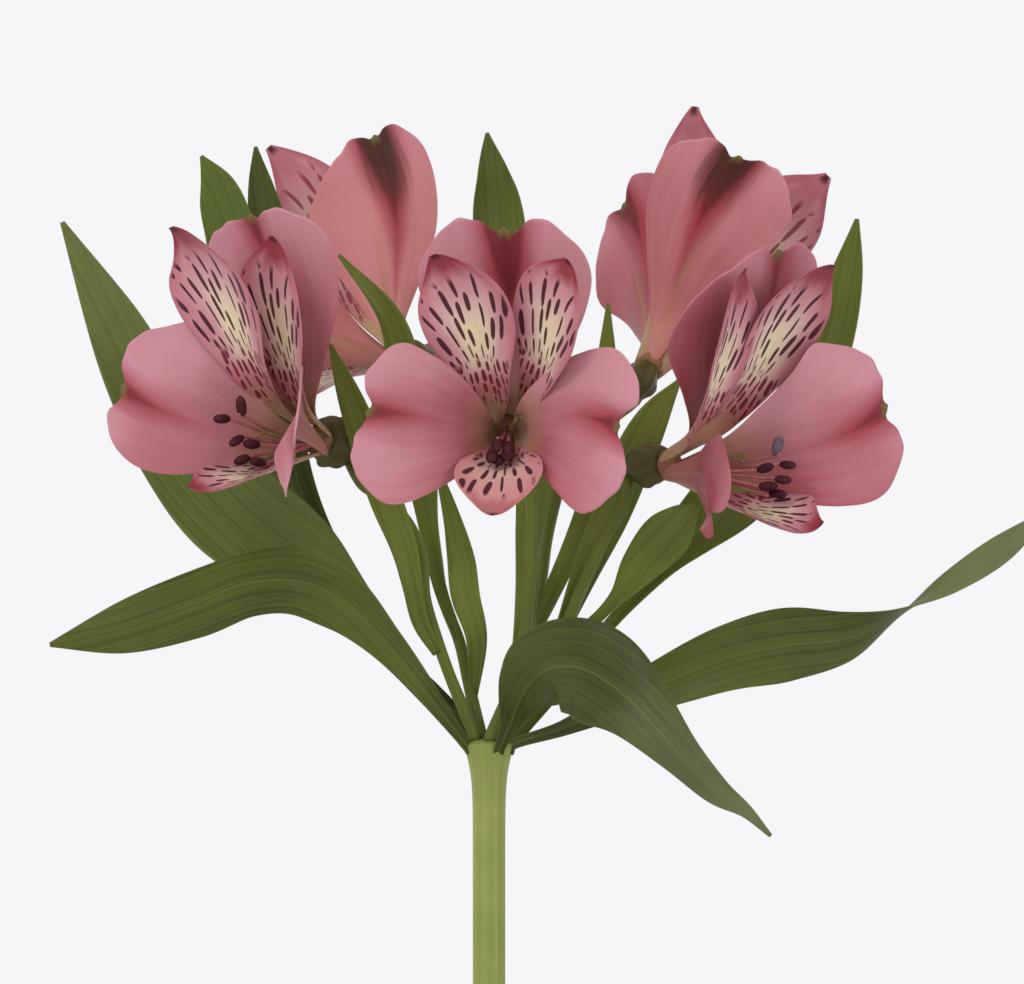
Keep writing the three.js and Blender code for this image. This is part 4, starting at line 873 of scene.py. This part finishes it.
def stamen_pieces(name, pose, paints):
    """Six stamens with oblong anthers, and the style with its three-cleft top. One anther is dusty."""
    threads, anthers, dusty, styles = range(4)
    shapes = []
    for number, (x, y, z, lean) in enumerate(ANTHERS.get(name, ANTHERS["plain"])):
        root = STAMEN_RING / math.hypot(y, z)
        sag = 0.12 * (z + 6)
        ahead = np.array([math.cos(math.radians(lean)), 0, math.sin(math.radians(lean))])
        neck = np.array([x, y, z])
        filament = [
            [2, y * root, z * root, FILAMENT_RADIUS * 1.3],
            [x * 0.5, y * 0.47, z * 0.47 - sag, FILAMENT_RADIUS * 1.1],
            [*neck, FILAMENT_RADIUS],
            [*(neck + ahead * 0.9), FILAMENT_RADIUS * 0.7],
        ]
        swell = ((0.1, 0.4), (0.8, 0.95), (2.2, 1.15), (3.6, 0.95), (ANTHER_LENGTH, 0.35))
        size = 0.94 + 0.07 * math.sin(number * 2.3 + x)
        sway = np.array([0, 0.35 * math.sin(number * 1.9 + y), 0])
        anther = [[*(neck + ahead * reach * size + sway * (reach / ANTHER_LENGTH) ** 2), radius * size]
                  for reach, radius in swell]
        shapes.append((tube(filament, 22, 10), threads))
        paint = dusty if name == "right" and number == 0 else anthers
        shapes.append((tube(anther, 20, 20, ribs=2, depth=0.14), paint))
    middle, top = STYLES.get(name, STYLES["plain"])
    shapes.append((tube([[2, 0, 0, 0.6], [*middle, 0.5], [*top, 0.45]], 20, 10), styles))
    for turn in (0, 120, 240):
        cleft = np.array([0, math.cos(math.radians(turn)), math.sin(math.radians(turn))])
        fork = [[*(np.array(top) + (reach, 0, 0) + cleft * wide), radius]
                for reach, wide, radius in ((-0.4, 0, 0.4), (0.9, 0.4, 0.3), (1.9, 1.1, 0.15))]
        shapes.append((tube(fork, 8, 8), styles))
    piece(f"fine_stamens_{name}", in_bloom(shapes, pose), paints)


# Stalks with their ovaries and bracts

LEAF_SHAPE = {"facing": (0, -1, 0), "wave": 0.6, "waves": 2.5, "relief": LEAF_VEINS}
BRACT_SHAPE = {**LEAF_SHAPE, "relief": BRACT_VEINS}


def stalk_piece(name, pose, parts, paints):
    """A stalk, the ovary on top of it and the bracts along it."""
    forward, _, _, level = bloom_axes(pose)

    def behind(distance):
        """A point on the ovary's curved axis, that far behind the bloom's foot."""
        curved = max(0.001, distance - OVARY_NECK)
        turn = math.radians(pose["bend"]) * curved / OVARY_LENGTH
        reach = distance - curved + math.sin(turn) / turn * curved
        drop = (1 - math.cos(turn)) / turn * curved
        return list(np.array(pose["foot"]) - forward * reach - level * drop)

    first, *others = parts["route"]
    route = [[*first, STALK_RADIUS * 1.1], *[[*place, STALK_RADIUS * 0.92] for place in others]]
    route += [[*behind(OVARY_LENGTH * share), STALK_RADIUS] for share in (1, 0.7)]
    swell = ((1.02, 0.36), (0.86, 0.52), (0.66, 0.88), (0.42, 1.0), (0.2, 0.86), (0.0, 0.72))
    stoutest = OVARY_RADIUS * parts.get("swell", 1)
    ovary = [[*behind(OVARY_LENGTH * share + OVARY_GAP), stoutest * size] for share, size in swell]
    shapes = [(tube(route, 90, 16, ribs=5, depth=0.04), 0), (tube(ovary, 36, 48, ribs=6, depth=0.07), 1)]
    shapes += [(blade(rows, BRACT_SHAPE, (60, 12), LEAF_THICKNESS), 2) for rows in parts["bracts"]]
    piece(f"fine_stalk_{name}", shapes, paints)


# Each petal's flush, how far it turns to salmon, the dark wedge and crease line at its notch (partly own
# dark red, partly painted shade), and how far the flush grows from one margin to the other. The narrow
# petals have only the first.
LOOKS = {
    "left": {
        "upper": (0.4, 0.1, 0.6, 0.0), "sidePlus": (0.4, 0.2, 0.4, 0.0),
        "sideMinus": (0.3, 0.0, 0.65, -0.25),
        "lower": (0.1,), "innerPlus": (0.1,), "innerMinus": (0.05,),
    },
    "left_back": {
        "upper": (0.0, 0.75, 1.0, 0.0), "sidePlus": (0.5, 0.5, 0.8, 0.0), "sideMinus": (0.7, 0.5, 0.6, 0.0),
        "lower": (0.2,), "innerPlus": (0.1,), "innerMinus": (0.1,),
    },
    "centre": {
        "upper": (0.0, 0.2, 0.95, -0.3), "sidePlus": (0.35, 0.1, 0.7, 0.5),
        "sideMinus": (0.42, 0.1, 0.65, -0.2),
        "lower": (0.15,), "innerPlus": (0.1,), "innerMinus": (0.05,),
    },
    "right": {
        # The right bloom's near side petal (sideMinus) has a deep red flush: painted shade, as that petal
        # lies in shadow
        "upper": (0.75, 0.2, 0.6, 0.0), "sidePlus": (0.4, 0.1, 0.7, 0.5), "sideMinus": (0.95, 0.3, 0.4, 0.0),
        "lower": (0.2,), "innerPlus": (0.15,), "innerMinus": (0.3,),
    },
    "right_back": {
        "upper": (0.3, 0.5, 1.0, 0.0), "sidePlus": (0.7, 0.4, 0.9, 0.0), "sideMinus": (0.35, 0.5, 0.5, 0.0),
        "lower": (0.2,), "innerPlus": (0.1,), "innerMinus": (0.1,),
    },
}

petal_paints = [
    outer_paint(),
    inner_paint("petal_inner", (200, 146, 150), (178, 104, 114), cream=0.95, dipped=0.9,
                rows=5.8, cells=11.0, thick=0.19, seed=3.0, share=0.6),
    inner_paint("petal_lower", (202, 148, 144), (190, 124, 124), cream=0.3, dipped=0.5,
                rows=5.0, cells=9.5, thick=0.17, seed=8.0, share=1.0),
    plain_paint("petal_cup", (140, 82, 66), (120, 106, 56), 0.5, 300.0),
]
stamen_paints = [
    plain_paint("filament", (170, 96, 98), (186, 124, 120), 0.45, 400.0, 0.03),
    plain_paint("anther", (50, 18, 24), (80, 34, 40), 0.75, 700.0, 0.12),
    plain_paint("anther_dusty", (84, 62, 72), (122, 102, 114), 0.8, 700.0, 0.12),
    plain_paint("style", (116, 108, 60), (150, 120, 84), 0.5, 400.0, 0.03),
]
stalk_paints = [
    stalk_paint("stalk", (84, 94, 40), (116, 124, 54)),
    stalk_paint("ovary", (50, 62, 28), (92, 102, 46), blush=0.25),
    leaf_paint("bract", (84, 96, 38), (118, 127, 54)),
]

for name, pose in BLOOMS.items():
    bloom_pieces(name, pose, petal_paints)
    stamen_pieces(name, pose, stamen_paints)
    stalk_piece(name, pose, STALKS[name], stalk_paints)

# Leaves: the dark and light green of each, and how far its outer half is made lighter and greyer
LEAF_TONES = {
    "leaf_left_high": ((84, 96, 45), (117, 129, 66), 0.1),
    "leaf_left_low": ((56, 66, 23), (92, 103, 42), 0.0),
    "leaf_front": ((50, 60, 23), (79, 88, 38), 0.45),
    "leaf_right_low": ((53, 60, 26), (92, 100, 44), 0.45),
    "leaf_right_high": ((76, 87, 30), (106, 115, 45), 0.0),
    "leaf_back_centre": ((72, 82, 29), (103, 113, 51), 0.0),
    "leaf_back_left_outer": ((72, 88, 33), (102, 116, 52), 0.0),
    "leaf_back_left_inner": ((56, 67, 22), (82, 92, 38), 0.0),
}
for name, rows in LEAVES.items():
    x, y, z, width, cup, roll = rows[0]
    rows = [[x * 0.75, y * 0.75, z - 2, width * 0.9, cup, roll], *rows]
    shape = blade(rows, LEAF_SHAPE, (140, 28), LEAF_THICKNESS)
    piece(f"fine_{name}", [(shape, 0)], [leaf_paint(name, *LEAF_TONES[name])])

STEM_LEAF_SHAPE = {"facing": (-0.6, 0, 1), "wave": 0.6, "waves": 2, "relief": LEAF_VEINS}
lower_leaf = leaf_paint("stem_leaf", (64, 78, 34), (110, 124, 58))
for number, leaf in enumerate(STEM_LEAVES, 1):
    turn = math.radians(leaf["azimuth"])
    axes = ((math.cos(turn), math.sin(turn), 0), (-math.sin(turn), math.cos(turn), 0), (0, 0, 1))
    shape = blade(STEM_LEAF_ROWS, STEM_LEAF_SHAPE, (90, 24), LEAF_THICKNESS)
    shape = placed(shape, axes, (0, 0, leaf["height"]))
    piece(f"fine_stem_leaf_{number}", [(shape, 0)], [lower_leaf], lift=0)

# The main stem, with a faint joint at each lower leaf
stem_rows = []
for height in np.linspace(SOIL_TOP - STEM_DEPTH, FORK_HEIGHT, 80):
    share = (height - SOIL_TOP) / (FORK_HEIGHT - SOIL_TOP)
    radius = np.interp(share, [0, 0.31, 0.65], [STEM_FOOT_RADIUS, STEM_RADIUS + 0.2, STEM_RADIUS])
    radius += (FORK_RADIUS - STEM_RADIUS) * math.exp(-(((FORK_HEIGHT - height) / FORK_FLARE) ** 1.3))
    near = [(height - leaf["height"]) / STEM_NODE_LENGTH for leaf in STEM_LEAVES]
    radius += sum(STEM_NODE_BULGE * math.exp(-(distance**2)) for distance in near)
    stem_rows.append([0, 0, height, radius])
for rise, share in ((0.7, 0.88), (1.2, 0.6), (1.45, 0.25)):
    stem_rows.append([0, 0, FORK_HEIGHT + rise, FORK_RADIUS * share])
stem_paint = stalk_paint("stem", (124, 133, 68), (152, 160, 88))
piece("fine_stem", [(tube(stem_rows, 200, 48, ribs=9, depth=0.012), 0)], [stem_paint], lift=0)

# The pot: its wall leans out evenly from the foot to the step under the rim
rim_foot = POT_HEIGHT - POT_RIM_HEIGHT
pot_taper = (POT_RIM_RADIUS - POT_RIM_STEP - POT_FOOT_RADIUS) / rim_foot


def body_radius(z):
    return POT_FOOT_RADIUS + pot_taper * z


def inner_radius(z):
    return body_radius(z) - POT_WALL


def softened(profile, cut, steps=5):
    """The profile with each corner rounded off over a distance."""
    out = []
    for number in range(len(profile)):
        before, here, after = (np.array(profile[(number + d) % len(profile)], float) for d in (-1, 0, 1))
        if here[0] == 0:
            out.append(here)
            continue
        start = here + (before - here) * min(0.45, cut / np.linalg.norm(before - here))
        end = here + (after - here) * min(0.45, cut / np.linalg.norm(after - here))
        for f in np.linspace(0, 1, steps):
            out.append((1 - f) ** 2 * start + 2 * f * (1 - f) * here + f * f * end)
    return out


pot_profile = softened([
    [0, 0], [POT_FOOT_RADIUS, 0], [body_radius(rim_foot), rim_foot],
    [POT_RIM_RADIUS - POT_CHAMFER, rim_foot + POT_CHAMFER],
    [POT_RIM_RADIUS, POT_HEIGHT], [POT_RIM_RADIUS - POT_LIP, POT_HEIGHT],
    [inner_radius(POT_HEIGHT - 5), POT_HEIGHT - 6], [inner_radius(POT_WALL), POT_WALL], [0, POT_WALL],
], POT_ROUNDING)
pot = piece("fine_pot", [(lathe(pot_profile, 144), 0)], [clay_paint()], lift=0)
for azimuth in DRAIN_AZIMUTHS:
    turn = math.radians(azimuth)
    bpy.ops.mesh.primitive_cylinder_add(
        vertices=40, radius=DRAIN_RADIUS * MM, depth=POT_WALL * 4 * MM,
        location=(DRAIN_DISTANCE * MM * math.cos(turn), DRAIN_DISTANCE * MM * math.sin(turn), 0),
    )
    drill = bpy.context.object
    cut = pot.modifiers.new("drain", "BOOLEAN")
    cut.operation, cut.solver, cut.object = "DIFFERENCE", "EXACT", drill
    with bpy.context.temp_override(object=pot, active_object=pot):
        bpy.ops.object.modifier_apply(modifier=cut.name)
    bpy.data.objects.remove(drill)
pot.data.set_sharp_from_angle(angle=math.radians(40))

# The soil: a rough top with crumbs and pale specks of perlite
soil_top = inner_radius(SOIL_TOP) - JOINT_GAP
soil_foot = POT_WALL + JOINT_GAP


def mound(radius):
    """The height of the ground: nine tenths of the solid's mound, as the crumbs lie on top."""
    return SOIL_TOP + SOIL_MOUND * (1 - (radius / soil_top) ** 2) * 0.9


profile = [[0, soil_foot], [inner_radius(POT_WALL) - JOINT_GAP, soil_foot], [soil_top, SOIL_TOP - SOIL_EDGE]]
profile += [[radius, mound(radius)] for radius in np.linspace(soil_top, 0, 71)]
ground = lathe(profile, 180)
for point in ground["points"]:
    if point[2] > SOIL_TOP - 1 and math.hypot(*point[:2]) < soil_top - 0.5:
        spot = Vector((*point[:2], 0))
        rise = noise.noise(spot * 0.09) * 1.2 + noise.noise(spot * 0.4) * 0.8
        point[2] += rise + abs(noise.noise(spot * 1.1)) * 0.7 - 0.5
rng = np.random.default_rng(11)


def crumb(centre, size):
    """A small lump: a round body of eight sides, pushed out of shape."""
    turns = np.linspace(0, np.pi, 7)
    lump = lathe(np.column_stack([np.sin(turns), -np.cos(turns)]), 8)
    shift = rng.uniform(0, 50, 3)
    bulge = np.array([1 + 0.55 * noise.noise(Vector(point * 1.3 + shift)) for point in lump["points"]])
    lump["points"] = lump["points"] * bulge[:, None] * (size * rng.uniform(0.65, 1.2, 3)) + centre
    return lump


lumps = [(ground, 0)]
for number in range(CRUMBS):
    pale = number % PERLITE_EVERY == 0
    radius, turn = soil_top * math.sqrt(rng.uniform(0.01, 0.93)), rng.uniform(0, 2 * math.pi)
    size = rng.uniform(0.7, 1.4) if pale else rng.uniform(0.5, 1.7)
    centre = np.array([radius * math.cos(turn), radius * math.sin(turn), mound(radius) + size * 0.3])
    lumps.append((crumb(centre, size), int(pale)))
perlite = plain_paint("perlite", (206, 200, 188), (236, 232, 224), 0.9, 500.0, 0.2)
piece("fine_soil", lumps, [soil_paint(), perlite], lift=0)

# Floor, light and camera, in metres and watts. The camera is level with the middle of the photo and 1.2 m
# in front of the plant. With this lens and a sensor of 36 mm a pixel of the photo is 0.21 mm at the stem.
FLOOR_RADIUS = 2
FLOOR_HEIGHT = -0.0002
LIGHT_AIM = Vector((0, 0, 0.29))
CAMERA_PLACE = (0.00483, -1.2, 0.29513)
CAMERA_LENS = 200.9
CAMERA_SENSOR = 36.0
bpy.ops.mesh.primitive_circle_add(
    vertices=96, radius=FLOOR_RADIUS, fill_type="NGON", location=(0, 0, FLOOR_HEIGHT),
)
floor = bpy.context.object
floor.name = "floor"
floor_paint = Paint("floor", 0.9, {"Specular IOR Level": 0.1})
shade = floor_paint.noise(floor_paint.place(), 3.0, 2.0)
floor_paint.colour = floor_paint.mix(shade, (226, 225, 227), (230, 229, 231))
floor.data.materials.append(floor_paint.finish())

world = bpy.context.scene.world or bpy.data.worlds.new("world")
bpy.context.scene.world = world
world.use_nodes = True
backdrop = world.node_tree.nodes["Background"]
backdrop.inputs["Color"].default_value = tone((246, 245, 248))
backdrop.inputs["Strength"].default_value = 1.0


def soft_light(name, place, power, size):
    data = bpy.data.lights.new(name, "AREA")
    data.shape, data.size, data.energy = "DISK", size, power
    light = bpy.data.objects.new(name, data)
    light.location = place
    light.rotation_euler = (LIGHT_AIM - Vector(place)).to_track_quat("-Z", "Y").to_euler()
    bpy.context.scene.collection.objects.link(light)


soft_light("key", (-0.7, -1.1, 1.2), 7.0, 0.5)
soft_light("fill", (1.1, -0.9, 0.6), 2.0, 0.8)

data = bpy.data.cameras.new("camera")
data.lens, data.sensor_width, data.sensor_fit = CAMERA_LENS, CAMERA_SENSOR, "HORIZONTAL"
data.clip_start, data.clip_end = 0.01, 20.0
camera = bpy.data.objects.new("camera", data)
camera.location = CAMERA_PLACE
camera.rotation_euler = (math.pi / 2, 0, 0)
bpy.context.scene.collection.objects.link(camera)
bpy.context.scene.camera = camera
bpy.context.scene.view_settings.view_transform = "Standard"
